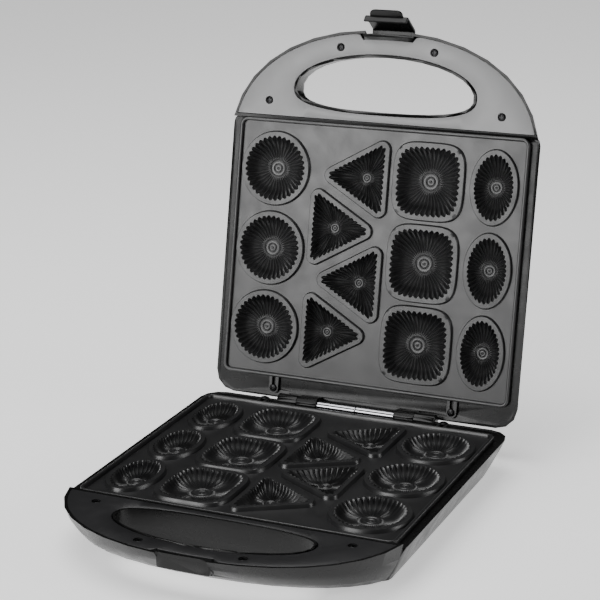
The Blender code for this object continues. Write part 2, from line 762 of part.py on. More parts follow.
def finish_lid_shell(shell):
    """Hinge arms and knuckles, lamp holes and the room for the latch's knuckle."""
    z = HINGE_DROP
    spans = mirrored(KNUCKLE_START, KNUCKLE_START + LID_KNUCKLE_WIDTH)
    arms = gather(
        "arms",
        [
            block(
                f"arm_{i}",
                (a + GAP, -(ARM_BACK + ARM_THICKNESS), -(RIM_DROP + WALL / 2)),
                (b - GAP, -ARM_BACK, z),
            )
            for i, (a, b) in enumerate(spans)
        ],
    )
    join(arms, sideways("lid_knuckles", spans, 0.0, z, KNUCKLE_RADIUS, KNUCKLE_SIDES))
    join(shell, arms)
    bore = mirrored(0.0, KNUCKLE_END)
    cut(shell, sideways("lid_pin_bores", bore, 0.0, z, PIN_RADIUS + GAP, POST_SIDES))
    cut(
        shell,
        uprights("lamp_holes", lamp_places(), -(TUB_DEPTH + OVERRUN), FLOOR_TOP + OVERRUN, LAMP_RADIUS + GAP, HEAD_SIDES),
    )
    pivot_y = HANDLE_TIP + LATCH_PIVOT_BACK
    pivot_z = -LATCH_PIVOT_DROP
    room = [(-LATCH_NOTCH_HALF_WIDTH, LATCH_NOTCH_HALF_WIDTH)]
    cut(shell, sideways("latch_room", room, pivot_y, pivot_z, LATCH_POCKET, POST_SIDES))
    wide = LATCH_NOTCH_HALF_WIDTH - GAP
    slot = block(
        "latch_slot",
        (-wide, HANDLE_TIP - OVERRUN, pivot_z - LATCH_POCKET * LATCH_SLOT_SHARE),
        (wide, pivot_y, pivot_z + LATCH_POCKET * LATCH_SLOT_SHARE),
    )
    cut(shell, slot)
    half = LATCH_PIN_LENGTH / 2 + GAP
    cut(shell, sideways("latch_pin_holes", [(-half, half)], pivot_y, pivot_z, LATCH_PIN_RADIUS + GAP, SHANK_SIDES))
    return shell


def foot_places():
    front = PLATE_FRONT + FRONT_FOOT_BACK
    rear = PLATE_REAR - REAR_FOOT_AHEAD
    return [(-FOOT_X, front), (FOOT_X, front), (-FOOT_X, rear), (FOOT_X, rear)]


def lamp_places():
    y = PLATE_FRONT + LAMP_FROM_FRONT
    return [(-LAMP_SPACING / 2, y), (LAMP_SPACING / 2, y)]


def build_cover(name, material):
    """The panel that closes the handle: it leaves a seam to the housing's rim and collar."""
    rear = TUB_FRONT - COVER_GAP
    inset = WALL + COVER_GAP
    top = -HANDLE_TOP_DROP
    cover = slab(name, handle_outline(inset, rear), top - COVER_THICKNESS, top, material)
    cut(cover, slab(name + "_opening", grip_outline(GRIP_COLLAR + COVER_GAP), -HANDLE_DEPTH, OVERRUN))
    set_back = LATCH_NOTCH_DEPTH + LATCH_NOTCH_WALL + COVER_GAP
    half = LATCH_NOTCH_HALF_WIDTH + LATCH_NOTCH_WALL + COVER_GAP
    cut(cover, notch_block(name + "_notch", half, set_back))
    places = cover_screw_places()
    low = -HANDLE_DEPTH
    cut(
        cover,
        uprights(name + "_holes", places, low, OVERRUN, SCREW_SHANK_RADIUS + GAP, SHANK_SIDES),
        uprights(
            name + "_head_seats",
            places,
            top - SCREW_HEAD_HEIGHT,
            OVERRUN,
            SCREW_HEAD_RADIUS + GAP,
            HEAD_SIDES,
        ),
    )
    return cover


def triangle_outline(direction, grow):
    """Equilateral triangle with rounded corners, pointing along X in the given direction."""
    points = []
    per_corner = 4
    radius = TRIANGLE_CORNER + grow
    for corner in range(3):
        heading = 2 * math.pi * corner / 3
        cx = 2 * TRIANGLE_CORE * math.cos(heading)
        cy = 2 * TRIANGLE_CORE * math.sin(heading)
        for i in range(per_corner):
            angle = heading + math.radians(-60 + 120 * i / (per_corner - 1))
            points.append((direction * (cx + radius * math.cos(angle)), cy + radius * math.sin(angle)))
    return points


def mould_outline(kind, grow):
    if kind == "round":
        return superellipse(ROUND_RADIUS + grow, ROUND_RADIUS + grow, 2.0, MOULD_SIDES)
    if kind == "oval":
        return superellipse(OVAL_HALF_WIDTH + grow, OVAL_HALF_LENGTH + grow, 2.0, MOULD_SIDES)
    if kind == "square":
        return superellipse(SQUARE_HALF_WIDTH + grow, SQUARE_HALF_LENGTH + grow, SQUARE_POWER, MOULD_SIDES)
    return triangle_outline(1 if kind == "triangle_out" else -1, grow)


def mould_places():
    """(kind, x, y) of the thirteen moulds."""
    places = []
    for kind, column in (
        ("round", ROUND_COLUMN_SHARE),
        ("square", SQUARE_COLUMN_SHARE),
        ("oval", OVAL_COLUMN_SHARE),
    ):
        for row in ROW_SHARES:
            places.append((kind, PLATE_WIDTH * column, PLATE_MIDDLE + PLATE_LENGTH * row))
    for i, row in enumerate(TRIANGLE_ROW_SHARES):
        kind = "triangle_in" if i % 2 else "triangle_out"
        column = TRIANGLE_COLUMN_SHARES[i % 2]
        places.append((kind, PLATE_WIDTH * column, PLATE_MIDDLE + PLATE_LENGTH * row))
    return places


def placed(points, x, y, size=1.0):
    return [(x + px * size, y + py * size) for px, py in points]


def mould_set(name, section_list):
    """One loft per mould, from (z, growth, size) rows listed upwards."""
    pieces = []
    for i, (kind, x, y) in enumerate(mould_places()):
        rows = [(z, placed(mould_outline(kind, grow), x, y, size)) for z, grow, size in section_list]
        pieces.append(loft(f"{name}_{i}", rows))
    return gather(name, pieces)


def plate_outline(inset):
    corner = PLATE_CORNER - inset
    return rounded_rectangle(PLATE_HALF - inset, PLATE_REAR - inset, PLATE_FRONT + inset, corner, corner, 3)


def heater_legs():
    return HEATER_OFFSET - HEATER_HALF_SPAN, HEATER_OFFSET + HEATER_HALF_SPAN


def clip_y():
    return PLATE_MIDDLE + PLATE_LENGTH * CLIP_Y_SHARE


def build_plate(name):
    """Die-cast plate: lip and skirt round a sunken land, raised rings round thirteen bowls."""
    top = -PLATE_GAP
    plate = slab(name, plate_outline(0.0), -SKIRT_DROP, top, "coating")
    well = loft(
        name + "_well",
        [
            (LAND_TOP, plate_outline(LIP_WIDTH + LIP_DRAFT)),
            (top, plate_outline(LIP_WIDTH)),
            (top + OVERRUN, plate_outline(LIP_WIDTH)),
        ],
    )
    rise = MOULD_DRAFT / LIP_HEIGHT
    rings = mould_set(
        name + "_rings",
        [
            (LAND_TOP - OVERRUN, MOULD_DRAFT + rise * OVERRUN, 1.0),
            (top, 0.0, 1.0),
            (top + 2 * OVERRUN, 0.0, 1.0),
        ],
    )
    cut(well, rings)
    cut(plate, well)
    under = slab(name + "_under", plate_outline(LIP_WIDTH + LIP_DRAFT), -(SKIRT_DROP + OVERRUN), LAND_UNDER)
    pans = mould_set(
        name + "_pans",
        [
            (-(SKIRT_DROP + 2 * OVERRUN), -MOULD_RING + MOULD_WALL, BOWL_UNDER_SHARE),
            (MOULD_UNDER, -MOULD_RING + MOULD_WALL, BOWL_UNDER_SHARE),
            (LAND_UNDER + OVERRUN / 2, -MOULD_RING + MOULD_WALL, 1.0),
        ],
    )
    cut(under, pans)
    cut(plate, under)
    into = LAND_THICKNESS / 2
    pads = [
        block(
            f"{name}_pad_{i}",
            (x - PAD_HALF_WIDTH, clip_y() - PAD_HALF_LENGTH, MOULD_UNDER),
            (x + PAD_HALF_WIDTH, clip_y() + PAD_HALF_LENGTH, LAND_UNDER + into),
        )
        for i, x in enumerate(heater_legs())
    ]
    for pad in pads:
        join(plate, pad)
    bowls = mould_set(
        name + "_bowls",
        [
            (top - MOULD_DEPTH * BOWL_DEPTH_SHARES[2], -MOULD_RING, BOWL_SIZE_SHARES[2]),
            (top - MOULD_DEPTH * BOWL_DEPTH_SHARES[1], -MOULD_RING, BOWL_SIZE_SHARES[1]),
            (top, -MOULD_RING, BOWL_SIZE_SHARES[0]),
            (top + OVERRUN, -MOULD_RING, BOWL_SIZE_SHARES[0]),
        ],
    )
    cut(plate, bowls)
    join(
        plate,
        uprights(name + "_bosses", post_places(), -BOSS_DROP, LAND_UNDER + into, BOSS_RADIUS, POST_SIDES),
    )
    lugs = []
    for i, (x, y) in enumerate(lug_places()):
        low = -(RIM_DROP - GAP)
        tab = rod(f"{name}_lug_{i}", (x, y, low), (x, y, low + LUG_THICKNESS), LUG_RADIUS, HEAD_SIDES)
        strip = block(
            f"{name}_strip_{i}",
            (x - LUG_RADIUS, PLATE_REAR - LIP_WIDTH / 2, low),
            (x + LUG_RADIUS, y, low + LUG_THICKNESS),
        )
        lugs += [tab, strip]
    for extra in lugs:
        join(plate, extra)
    cut(
        plate,
        uprights(
            name + "_boss_holes",
            post_places(),
            -(BOSS_DROP + OVERRUN),
            -(BOSS_DROP - PLATE_SCREW_REACH - GAP),
            SCREW_SHANK_RADIUS + GAP,
            SHANK_SIDES,
        ),
        uprights(
            name + "_lug_holes",
            lug_places(),
            -(RIM_DROP + OVERRUN),
            OVERRUN,
            SCREW_SHANK_RADIUS + GAP,
            SHANK_SIDES,
        ),
    )
    return plate


def build_screw(name, x, y, seat, length, up):
    """A pan head with its shank; up tells on which side of the seat the head lies."""
    tip = seat - length if up else seat + length
    outer = seat + SCREW_HEAD_HEIGHT if up else seat - SCREW_HEAD_HEIGHT
    head = rod(name, (x, y, seat), (x, y, outer), SCREW_HEAD_RADIUS, HEAD_SIDES, "blackened")
    inside = outer - (outer - seat) / 2
    return join(head, rod(name + "_shank", (x, y, tip), (x, y, inside), SCREW_SHANK_RADIUS, SHANK_SIDES))


def build_screws(half):
    seat = -(HANDLE_TOP_DROP + SCREW_HEAD_HEIGHT) + GAP
    for i, (x, y) in enumerate(cover_screw_places()):
        build_screw(f"{half}_handle_screw_{i + 1}", x, y, seat, COVER_SCREW_LENGTH, True)
    seat = -(RIM_DROP - GAP - LUG_THICKNESS) + GAP
    for i, (x, y) in enumerate(lug_places()):
        build_screw(f"{half}_lug_screw_{i + 1}", x, y, seat, LUG_SCREW_LENGTH + LUG_THICKNESS - GAP, True)
    seat = -PLATE_SCREW_DROP - GAP
    length = PLATE_SCREW_DROP - BOSS_DROP + PLATE_SCREW_REACH
    for i, (x, y) in enumerate(post_places()):
        build_screw(f"{half}_plate_screw_{i + 1}", x, y, seat, length, False)


def build_heater(name):
    """U-shaped tubular heater with a connection pin at each end."""
    left, right = heater_legs()
    rear = PLATE_REAR - HEATER_REAR
    front = PLATE_FRONT + HEATER_FRONT
    path = [(left, rear, HEATER_Z)]
    for cx, start in ((left + HEATER_BEND, 180), (right - HEATER_BEND, 270)):
        for i in range(HEATER_STEPS + 1):
            angle = math.radians(start + 90 * i / HEATER_STEPS)
            path.append(
                (cx + HEATER_BEND * math.cos(angle), front + HEATER_BEND + HEATER_BEND * math.sin(angle), HEATER_Z)
            )
    path.append((right, rear, HEATER_Z))
    tube = tube_along(name + "_wire", path, HEATER_RADIUS, "sheathing")
    bpy.context.view_layer.update()
    graph = bpy.context.evaluated_depsgraph_get()
    mesh = bpy.data.meshes.new_from_object(tube.evaluated_get(graph))
    bpy.data.objects.remove(tube)
    bm = bmesh.new()
    bm.from_mesh(mesh)
    bmesh.ops.remove_doubles(bm, verts=bm.verts, dist=GAP / 10)
    bmesh.ops.recalc_face_normals(bm, faces=bm.faces)
    bm.to_mesh(mesh)
    bm.free()
    mesh.name = name
    heater = SHOP.add(name, mesh)
    for i, x in enumerate((left, right)):
        start = (x, rear - HEATER_PIN_LENGTH, HEATER_Z)
        end = (x, rear + HEATER_PIN_LENGTH, HEATER_Z)
        join(heater, rod(f"{name}_pin_{i}", start, end, HEATER_PIN_RADIUS, SHANK_SIDES))
    return heater


def build_clips(half):
    """A bent strap under each leg of the heater, with its feet on the plate's pads."""
    for i, x in enumerate(heater_legs()):
        inner = HEATER_RADIUS + GAP
        outer = inner + CLIP_THICKNESS
        foot = PAD_HALF_WIDTH
        top = MOULD_UNDER - GAP
        low = HEATER_Z - outer
        section = [
            (x - foot, top),
            (x - foot, top - CLIP_THICKNESS),
            (x - outer, top - CLIP_THICKNESS),
            (x - outer, low),
            (x + outer, low),
            (x + outer, top - CLIP_THICKNESS),
            (x + foot, top - CLIP_THICKNESS),
            (x + foot, top),
            (x + inner, top),
            (x + inner, low + CLIP_THICKNESS),
            (x - inner, low + CLIP_THICKNESS),
            (x - inner, top),
        ]
        strip(f"{half}_heater_clip_{'left' if i == 0 else 'right'}", section, clip_y(), CLIP_HALF_LENGTH)


def strip(name, section, y, half_length):
    """An (x, z) outline drawn out along Y."""
    bm = bmesh.new()
    ends = [
        [bm.verts.new((px, y + side * half_length, pz)) for px, pz in section] for side in (-1, 1)
    ]
    for i in range(len(section)):
        j = (i + 1) % len(section)
        bm.faces.new((ends[0][i], ends[0][j], ends[1][j], ends[1][i]))
    bm.faces.new(ends[0])
    bm.faces.new(ends[1])
    return SHOP.add(name, mesh_from(bm, name), "steel")


def build_reflector(name):
    low = -(REFLECTOR_DROP + REFLECTOR_THICKNESS)

    def outline(inset):
        return rounded_rectangle(
            PLATE_HALF - REFLECTOR_SIDE_MARGIN - inset,
            PLATE_REAR - REFLECTOR_REAR_MARGIN - inset,
            PLATE_FRONT + REFLECTOR_FRONT_MARGIN + inset,
            PLATE_CORNER - inset,
            PLATE_CORNER - inset,
            2,
        )

    tray = slab(name, outline(0.0), low, low + REFLECTOR_FLANGE, "aluminium")
    inner = slab(
        name + "_inner",
        outline(REFLECTOR_THICKNESS),
        -REFLECTOR_DROP,
        low + REFLECTOR_FLANGE + OVERRUN,
    )
    holes = uprights(
        name + "_holes",
        post_places(),
        low - OVERRUN,
        low + REFLECTOR_FLANGE,
        POST_NECK_RADIUS + GAP,
        POST_SIDES,
    )
    return cut(tray, inner, holes)


def build_half(half, cover_material):
    """The pieces that base and lid have in common."""
    level = "lower" if half == "base" else "upper"
    shell = build_shell(half + "_shell")
    build_cover(half + "_handle_cover", cover_material)
    build_plate(level + "_plate")
    build_heater(level + "_heater")
    build_clips(level)
    build_reflector(level + "_reflector")
    build_screws(half)
    return shell


def build_base_fittings():
    for name, (x, y) in zip(("front_left", "front_right", "rear_left", "rear_right"), foot_places()):
        sole = -(TUB_DEPTH + FOOT_HEIGHT)
        foot = rod(
            "foot_" + name,
            (x, y, sole),
            (x, y, -(TUB_DEPTH + GAP)),
            FOOT_RADIUS * 0.9,
            HEAD_SIDES,
            "rubber",
            FOOT_RADIUS,
        )
        peg_top = -(TUB_DEPTH - FOOT_PEG_LENGTH)
        join(foot, rod("peg_" + name, (x, y, sole + GAP), (x, y, peg_top), FOOT_PEG_RADIUS, SHANK_SIDES))
    y = TUB_REAR - OVERRUN
    gland = rod(
        "cord_gland",
        (GLAND_X, y - GLAND_BOSS_LENGTH, -GLAND_DROP),
        (GLAND_X, y + GAP + GLAND_FLANGE_THICKNESS, -GLAND_DROP),
        GLAND_RADIUS,
        HEAD_SIDES,
        "rubber",
    )
    join(
        gland,
        rod(
            "gland_flange",
            (GLAND_X, y + GAP, -GLAND_DROP),
            (GLAND_X, y + GAP + GLAND_FLANGE_THICKNESS, -GLAND_DROP),
            GLAND_FLANGE,
            HEAD_SIDES,
        ),
    )
    cut(
        gland,
        rod(
            "gland_bore",
            (GLAND_X, y - GLAND_BOSS_LENGTH - OVERRUN, -GLAND_DROP),
            (GLAND_X, y + GLAND_FLANGE_THICKNESS + OVERRUN, -GLAND_DROP),
            GLAND_BORE,
            POST_SIDES,
        ),
    )
    y = PLATE_REAR - TERMINAL_AHEAD
    low = FLOOR_TOP + GAP
    block(
        "terminal_block",
        (GLAND_X - TERMINAL_LENGTH / 2, y - TERMINAL_WIDTH, low),
        (GLAND_X + TERMINAL_LENGTH / 2, y, low + TERMINAL_HEIGHT),
        "ceramic",
    )
    y = PLATE_REAR - THERMOSTAT_AHEAD
    z = LAND_UNDER - GAP - FUSE_RADIUS
    x = THERMOSTAT_X
    rod("thermal_fuse", (x, y, z), (x + FUSE_LENGTH, y, z), FUSE_RADIUS, HEAD_SIDES, "insulation")
    for i, (a, b) in enumerate(mirrored(SLEEVE_HALF_GAP, SLEEVE_END)):
        side = ("left", "right")[i]
        sleeve = rod(
            "hinge_sleeve_" + side, (a, 0.0, -HINGE_DROP), (b, 0.0, -HINGE_DROP), SLEEVE_RADIUS, KNUCKLE_SIDES, "chrome"
        )
        bore = rod(
            "sleeve_bore_" + side,
            (a - OVERRUN, 0.0, -HINGE_DROP),
            (b + OVERRUN, 0.0, -HINGE_DROP),
            PIN_RADIUS + GAP,
            POST_SIDES,
        )
        cut(sleeve, bore)
    for i, (a, b) in enumerate(mirrored(SLEEVE_HALF_GAP, KNUCKLE_END - PIN_END_WALL - GAP)):
        side = ("left", "right")[i]
        rod("hinge_pin_" + side, (a, 0.0, -HINGE_DROP), (b, 0.0, -HINGE_DROP), PIN_RADIUS, POST_SIDES, "steel")


def build_lid_fittings():
    x = THERMOSTAT_X
    y = PLATE_REAR - THERMOSTAT_AHEAD
    top = LAND_UNDER - GAP
    rod("thermostat", (x, y, top), (x, y, top - THERMOSTAT_HEIGHT), THERMOSTAT_RADIUS, KNUCKLE_SIDES, "steel")
    for name, colour, (x, y) in zip(("power", "ready"), ("red_lens", "green_lens"), lamp_places()):
        low = -(TUB_DEPTH + LAMP_PROUD)
        seat = FLOOR_TOP + GAP
        lens = rod(name + "_lamp_lens", (x, y, low), (x, y, seat + GAP), LAMP_RADIUS, HEAD_SIDES, colour)
        flange = rod(
            name + "_lamp_flange", (x, y, seat), (x, y, seat + LAMP_FLANGE_THICKNESS), LAMP_FLANGE, HEAD_SIDES
        )
        join(lens, flange)


def latch_path():
    """Middle line of the latch's strap, as (behind the handle's top, towards the base)."""
    hook = LATCH_CATCH_DROP + HOOK_GAP + LATCH_THICKNESS / 2
    return [
        (LATCH_PIVOT_BACK, -LATCH_PIVOT_DROP),
        (LATCH_SHOULDER_BACK, -LATCH_SHOULDER_DROP),
        (LATCH_RUN_BACK, -LATCH_RUN_DROP),
        (LATCH_RUN_BACK, hook),
        (LATCH_HOOK_TIP_BACK, hook),
    ]


def strap(name, path, half_width, material=None):
    """A bent strip of even thickness; path lies in (y, z) about the latch's pivot."""
    bm = bmesh.new()
    half = LATCH_THICKNESS / 2
    sides = ([], [])
    for i, place in enumerate(path):
        here = Vector(place)
        before = (here - Vector(path[i - 1])).normalized() if i else None
        after = (Vector(path[i + 1]) - here).normalized() if i + 1 < len(path) else None
        before = before or after
        after = after or before
        along = (before + after).normalized()
        normal = Vector((-along.y, along.x))
        reach = half / max(normal.dot(Vector((-before.y, before.x))), half)
        sides[0].append(here + normal * reach)
        sides[1].append(here - normal * reach)
    outline = sides[0] + sides[1][::-1]
    ends = [[bm.verts.new((x, p.x, p.y)) for p in outline] for x in (-half_width, half_width)]
    count = len(outline)
    for i in range(count):
        j = (i + 1) % count
        bm.faces.new((ends[0][i], ends[0][j], ends[1][j], ends[1][i]))
    steps = len(path)
    for end in ends:
        for i in range(steps - 1):
            bm.faces.new((end[i], end[i + 1], end[count - 2 - i], end[count - 1 - i]))
    return SHOP.add(name, mesh_from(bm, name), material)


def build_latch():
    """The latch, built closed about its pivot: knuckle, strap, hook and finger tab."""
    points = [(back - LATCH_PIVOT_BACK, rise + LATCH_PIVOT_DROP) for back, rise in latch_path()]
    latch = rod(
        "latch", (-LATCH_HALF_WIDTH, 0.0, 0.0), (LATCH_HALF_WIDTH, 0.0, 0.0), LATCH_KNUCKLE, POST_SIDES, "housing"
    )
    join(latch, strap("latch_strap", points, LATCH_HALF_WIDTH))
    corner = points[-2]
    tab_end = (corner[0] - LATCH_TAB_OUT, corner[1] + LATCH_TAB_RISE)
    root = (corner[0], corner[1] - LATCH_THICKNESS)
    join(latch, strap("latch_tab", [root, corner, tab_end], LATCH_TAB_HALF_WIDTH))
    long = LATCH_HALF_WIDTH + OVERRUN
    bore = rod("latch_bore", (-long, 0.0, 0.0), (long, 0.0, 0.0), LATCH_PIN_RADIUS + GAP, SHANK_SIDES)
    return cut(latch, bore)


def frame_at(name, location, rotation=None, parent=None):
    frame = bpy.data.objects.new(name, None)
    frame.empty_display_size = WALL
    SHOP.parts.objects.link(frame)
    frame.parent = parent
    frame.location = location
    if rotation:
        frame.rotation_euler = rotation
    return frame


def main():
    global SHOP
    for obj in list(bpy.data.objects):
        bpy.data.objects.remove(obj, do_unlink=True)
    SHOP = Workshop()
    SHOP.frame = frame_at("base_frame", (0.0, HINGE_Y, CLOSING_HEIGHT))
    finish_base_shell(build_half("base", "handle"))
    build_base_fittings()
    lid_pivot = frame_at("lid_pivot", (0.0, HINGE_Y, CLOSING_HEIGHT - HINGE_DROP), (-OPEN_ANGLE, 0.0, 0.0))
    SHOP.frame = frame_at("lid_frame", (0.0, 0.0, HINGE_DROP), (0.0, math.pi, 0.0), lid_pivot)
    lid_frame = SHOP.frame
    finish_lid_shell(build_half("lid", "handle"))
    build_lid_fittings()
    pivot = (0.0, HANDLE_TIP + LATCH_PIVOT_BACK, -LATCH_PIVOT_DROP)
    half = LATCH_PIN_LENGTH / 2
    rod("latch_pin", (-half, *pivot[1:]), (half, *pivot[1:]), LATCH_PIN_RADIUS, SHANK_SIDES, "steel")
    SHOP.frame = frame_at("latch_pivot", pivot, (LATCH_OPEN, 0.0, 0.0), lid_frame)
    build_latch()
    bpy.context.view_layer.update()


main()
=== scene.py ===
# Biscuit maker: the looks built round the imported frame.
# Each half is drawn lying open: X across, y = 0 on the hinge line, handle towards -y,
# z = 0 on the closing plane. baseFromHalf and lidFromHalf put a half where the frame has it.
import json
import math

import bmesh
import bpy
import numpy as np
from mathutils import Matrix, Vector
from mathutils.geometry import delaunay_2d_cdt

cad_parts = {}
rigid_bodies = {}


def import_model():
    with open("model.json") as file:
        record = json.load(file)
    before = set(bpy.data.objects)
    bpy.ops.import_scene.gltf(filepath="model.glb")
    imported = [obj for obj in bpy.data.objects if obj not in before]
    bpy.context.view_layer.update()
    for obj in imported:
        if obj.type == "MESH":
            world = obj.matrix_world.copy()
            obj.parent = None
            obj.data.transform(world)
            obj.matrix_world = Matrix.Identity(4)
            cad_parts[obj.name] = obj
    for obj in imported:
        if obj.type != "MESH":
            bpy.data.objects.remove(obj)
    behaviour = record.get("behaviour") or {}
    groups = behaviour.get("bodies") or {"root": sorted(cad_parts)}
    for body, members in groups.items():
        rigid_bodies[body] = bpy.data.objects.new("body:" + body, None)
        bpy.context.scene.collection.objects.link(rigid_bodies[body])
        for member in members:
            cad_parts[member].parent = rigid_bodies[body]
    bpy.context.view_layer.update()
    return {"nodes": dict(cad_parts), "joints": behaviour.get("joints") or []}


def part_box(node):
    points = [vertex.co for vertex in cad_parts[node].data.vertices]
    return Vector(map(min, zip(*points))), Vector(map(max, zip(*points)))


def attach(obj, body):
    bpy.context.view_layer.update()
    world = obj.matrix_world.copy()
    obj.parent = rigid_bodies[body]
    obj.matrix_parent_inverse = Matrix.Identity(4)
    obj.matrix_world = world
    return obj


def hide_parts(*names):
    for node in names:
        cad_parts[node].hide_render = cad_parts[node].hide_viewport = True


for old in list(bpy.data.objects):
    bpy.data.objects.remove(old, do_unlink=True)
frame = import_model()
nodes = frame["nodes"]
print("frame loaded:", len(nodes), "nodes")

# where the halves lie, read from the frame's joints
lidJoint = next(j for j in frame["joints"] if j["name"] == "lid_hinge")
latchJoint = next(j for j in frame["joints"] if j["name"] == "latch_hinge")
hingeDrop = 0.0063  # closing plane to hinge line
hingeY = lidJoint["pos_m"][1]
closingHeight = lidJoint["pos_m"][2] + hingeDrop
openAngle = math.radians(lidJoint["range_deg"][1])

plate = {
    "width": 0.294,
    "length": 0.250,
    "rear": -0.021,  # hinge line to its rear edge
    "corner": 0.008,
    "top": -0.0003,
    "lipWidth": 0.0030,
    "lipHeight": 0.0035,
    "lipDraft": 0.0006,
    "skirt": 0.0115,
    "cornerSteps": 8,
}
plate["front"] = plate["rear"] - plate["length"]
plate["middle"] = (plate["rear"] + plate["front"]) / 2
plate["land"] = plate["top"] - plate["lipHeight"]


def baseFromHalf(points):
    return points + np.array([0.0, hingeY, closingHeight])


# The half turned over about Y, then swung back about the hinge line by the open angle.
def lidFromHalf(points):
    x, y, z = -points[..., 0], points[..., 1], hingeDrop - points[..., 2]
    c, s = math.cos(openAngle), -math.sin(openAngle)
    return np.stack([x, hingeY + c * y - s * z, closingHeight - hingeDrop + s * y + c * z], axis=-1)


halves = {
    "base": {"place": baseFromHalf, "plate": "lower_plate", "cover": "base_handle_cover"},
    "lid": {"place": lidFromHalf, "plate": "upper_plate", "cover": "lid_handle_cover"},
}


# Materials
def newMaterial(name, colour, roughness, metallic=0.0):
    made = bpy.data.materials.new(name)
    made.use_nodes = True
    tree = made.node_tree
    shader = tree.nodes["Principled BSDF"]
    shader.inputs["Base Color"].default_value = (*colour, 1.0)
    shader.inputs["Roughness"].default_value = roughness
    shader.inputs["Metallic"].default_value = metallic
    where = tree.nodes.new("ShaderNodeTexCoord")
    return made, tree, shader, where.outputs["Object"]


def addNoise(tree, coords, scale, detail=3.0):
    node = tree.nodes.new("ShaderNodeTexNoise")
    node.inputs["Scale"].default_value = scale
    node.inputs["Detail"].default_value = detail
    tree.links.new(coords, node.inputs["Vector"])
    return node.outputs["Fac"]


# Spreads the source's values between start and end over the range from low to high.
def addRamp(tree, source, low, high, start=0.3, end=0.7):
    node = tree.nodes.new("ShaderNodeMapRange")
    node.inputs["From Min"].default_value = start
    node.inputs["From Max"].default_value = end
    node.inputs["To Min"].default_value = low
    node.inputs["To Max"].default_value = high
    tree.links.new(source, node.inputs["Value"])
    return node.outputs["Result"]


def addColourMix(tree, source, dark, light):
    node = tree.nodes.new("ShaderNodeMix")
    node.data_type = "RGBA"
    node.inputs["A"].default_value = (*dark, 1.0)
    node.inputs["B"].default_value = (*light, 1.0)
    tree.links.new(source, node.inputs["Factor"])
    return node.outputs["Result"]


def addBump(tree, shader, source, strength, distance):
    node = tree.nodes.new("ShaderNodeBump")
    node.inputs["Strength"].default_value = strength
    node.inputs["Distance"].default_value = distance
    tree.links.new(source, node.inputs["Height"])
    tree.links.new(node.outputs["Normal"], shader.inputs["Normal"])


finishes = {
    # dark colour, light colour, roughness low and high, grain scale, grain depth in metres, gloss
    "blackMoulding": ((0.004, 0.004, 0.004), (0.007, 0.007, 0.007), 0.22, 0.34, 1500, 0.00003, 0.30),
    "darkCover": ((0.016, 0.016, 0.017), (0.024, 0.024, 0.025), 0.30, 0.42, 1300, 0.00003, 0.40),
    # the lid's cover: the same plastic as the base's cover, its colour painted light grey as a painted
    # reflection of the light falling on the lid
    "greyCover": ((0.270, 0.270, 0.272), (0.310, 0.310, 0.312), 0.34, 0.44, 1300, 0.00003, 0.50),
    "plateCoating": ((0.010, 0.010, 0.011), (0.018, 0.018, 0.018), 0.30, 0.40, 1900, 0.00002, 0.75),
    "rubberSole": ((0.010, 0.010, 0.010), (0.018, 0.018, 0.018), 0.75, 0.90, 900, 0.00006),
    "ceramicBlock": ((0.74, 0.72, 0.66), (0.80, 0.78, 0.72), 0.45, 0.60, 700, 0.00003),
    "fibreSleeve": ((0.62, 0.60, 0.56), (0.74, 0.72, 0.68), 0.65, 0.80, 1100, 0.00010),
}
metals = {
    "polishedChrome": ((0.42, 0.42, 0.44), 0.10, 0.20, 260),
    "plainSteel": ((0.40, 0.40, 0.41), 0.26, 0.42, 420),
    "blackenedScrew": ((0.035, 0.035, 0.036), 0.24, 0.40, 600),
    "heaterSheath": ((0.28, 0.26, 0.25), 0.40, 0.60, 300),
    "millSheet": ((0.66, 0.67, 0.68), 0.22, 0.38, 220),
}
lenses = {"redLens": (0.55, 0.02, 0.015), "greenLens": (0.02, 0.36, 0.06)}
# scales per metre and strengths of what the finishes share
texture = {
    "cloudScale": 22.0,
    "sheenScale": 60.0,
    "grainDetail": 2.0,
    "grainStrength": 0.6,
    "metalCloudScale": 35.0,
    "metalDarkShare": 0.86,
    "lensRoughness": 0.12,
    "lensCoat": 0.6,
    "rippleScale": 900.0,
    "rippleStrength": 0.4,
    "rippleDepth": 0.00004,
}


# Slow cloudy colour and sheen, with a fine grain as the moulding tool leaves it.
def mouldedFinish(name, dark, light, smoothest, roughest, grain, depth, specular=0.5):
    made, tree, shader, coords = newMaterial(name, light, roughest)
    cloud = addNoise(tree, coords, texture["cloudScale"])
    tree.links.new(addColourMix(tree, cloud, dark, light), shader.inputs["Base Color"])
    sheen = addNoise(tree, coords, texture["sheenScale"])
    tree.links.new(addRamp(tree, sheen, smoothest, roughest), shader.inputs["Roughness"])
    shader.inputs["Specular IOR Level"].default_value = specular
    bumps = addNoise(tree, coords, grain, texture["grainDetail"])
    addBump(tree, shader, bumps, texture["grainStrength"], depth)
    return made


def metalFinish(name, colour, smoothest, roughest, scale):
    made, tree, shader, coords = newMaterial(name, colour, roughest, 1.0)
    wear = addNoise(tree, coords, scale)
    tree.links.new(addRamp(tree, wear, smoothest, roughest), shader.inputs["Roughness"])
    darker = tuple(texture["metalDarkShare"] * c for c in colour)
    cloud = addNoise(tree, coords, texture["metalCloudScale"])
    tree.links.new(addColourMix(tree, cloud, darker, colour), shader.inputs["Base Color"])
    return made


def lensFinish(name, colour):
    made, tree, shader, coords = newMaterial(name, colour, texture["lensRoughness"])
    shader.inputs["Coat Weight"].default_value = texture["lensCoat"]
    ripple = addNoise(tree, coords, texture["rippleScale"])
    addBump(tree, shader, ripple, texture["rippleStrength"], texture["rippleDepth"])
    return made


materials = {name: mouldedFinish(name, *values) for name, values in finishes.items()}
materials.update({name: metalFinish(name, *values) for name, values in metals.items()})
materials.update({name: lensFinish(name, colour) for name, colour in lenses.items()})
print("materials:", len(materials))


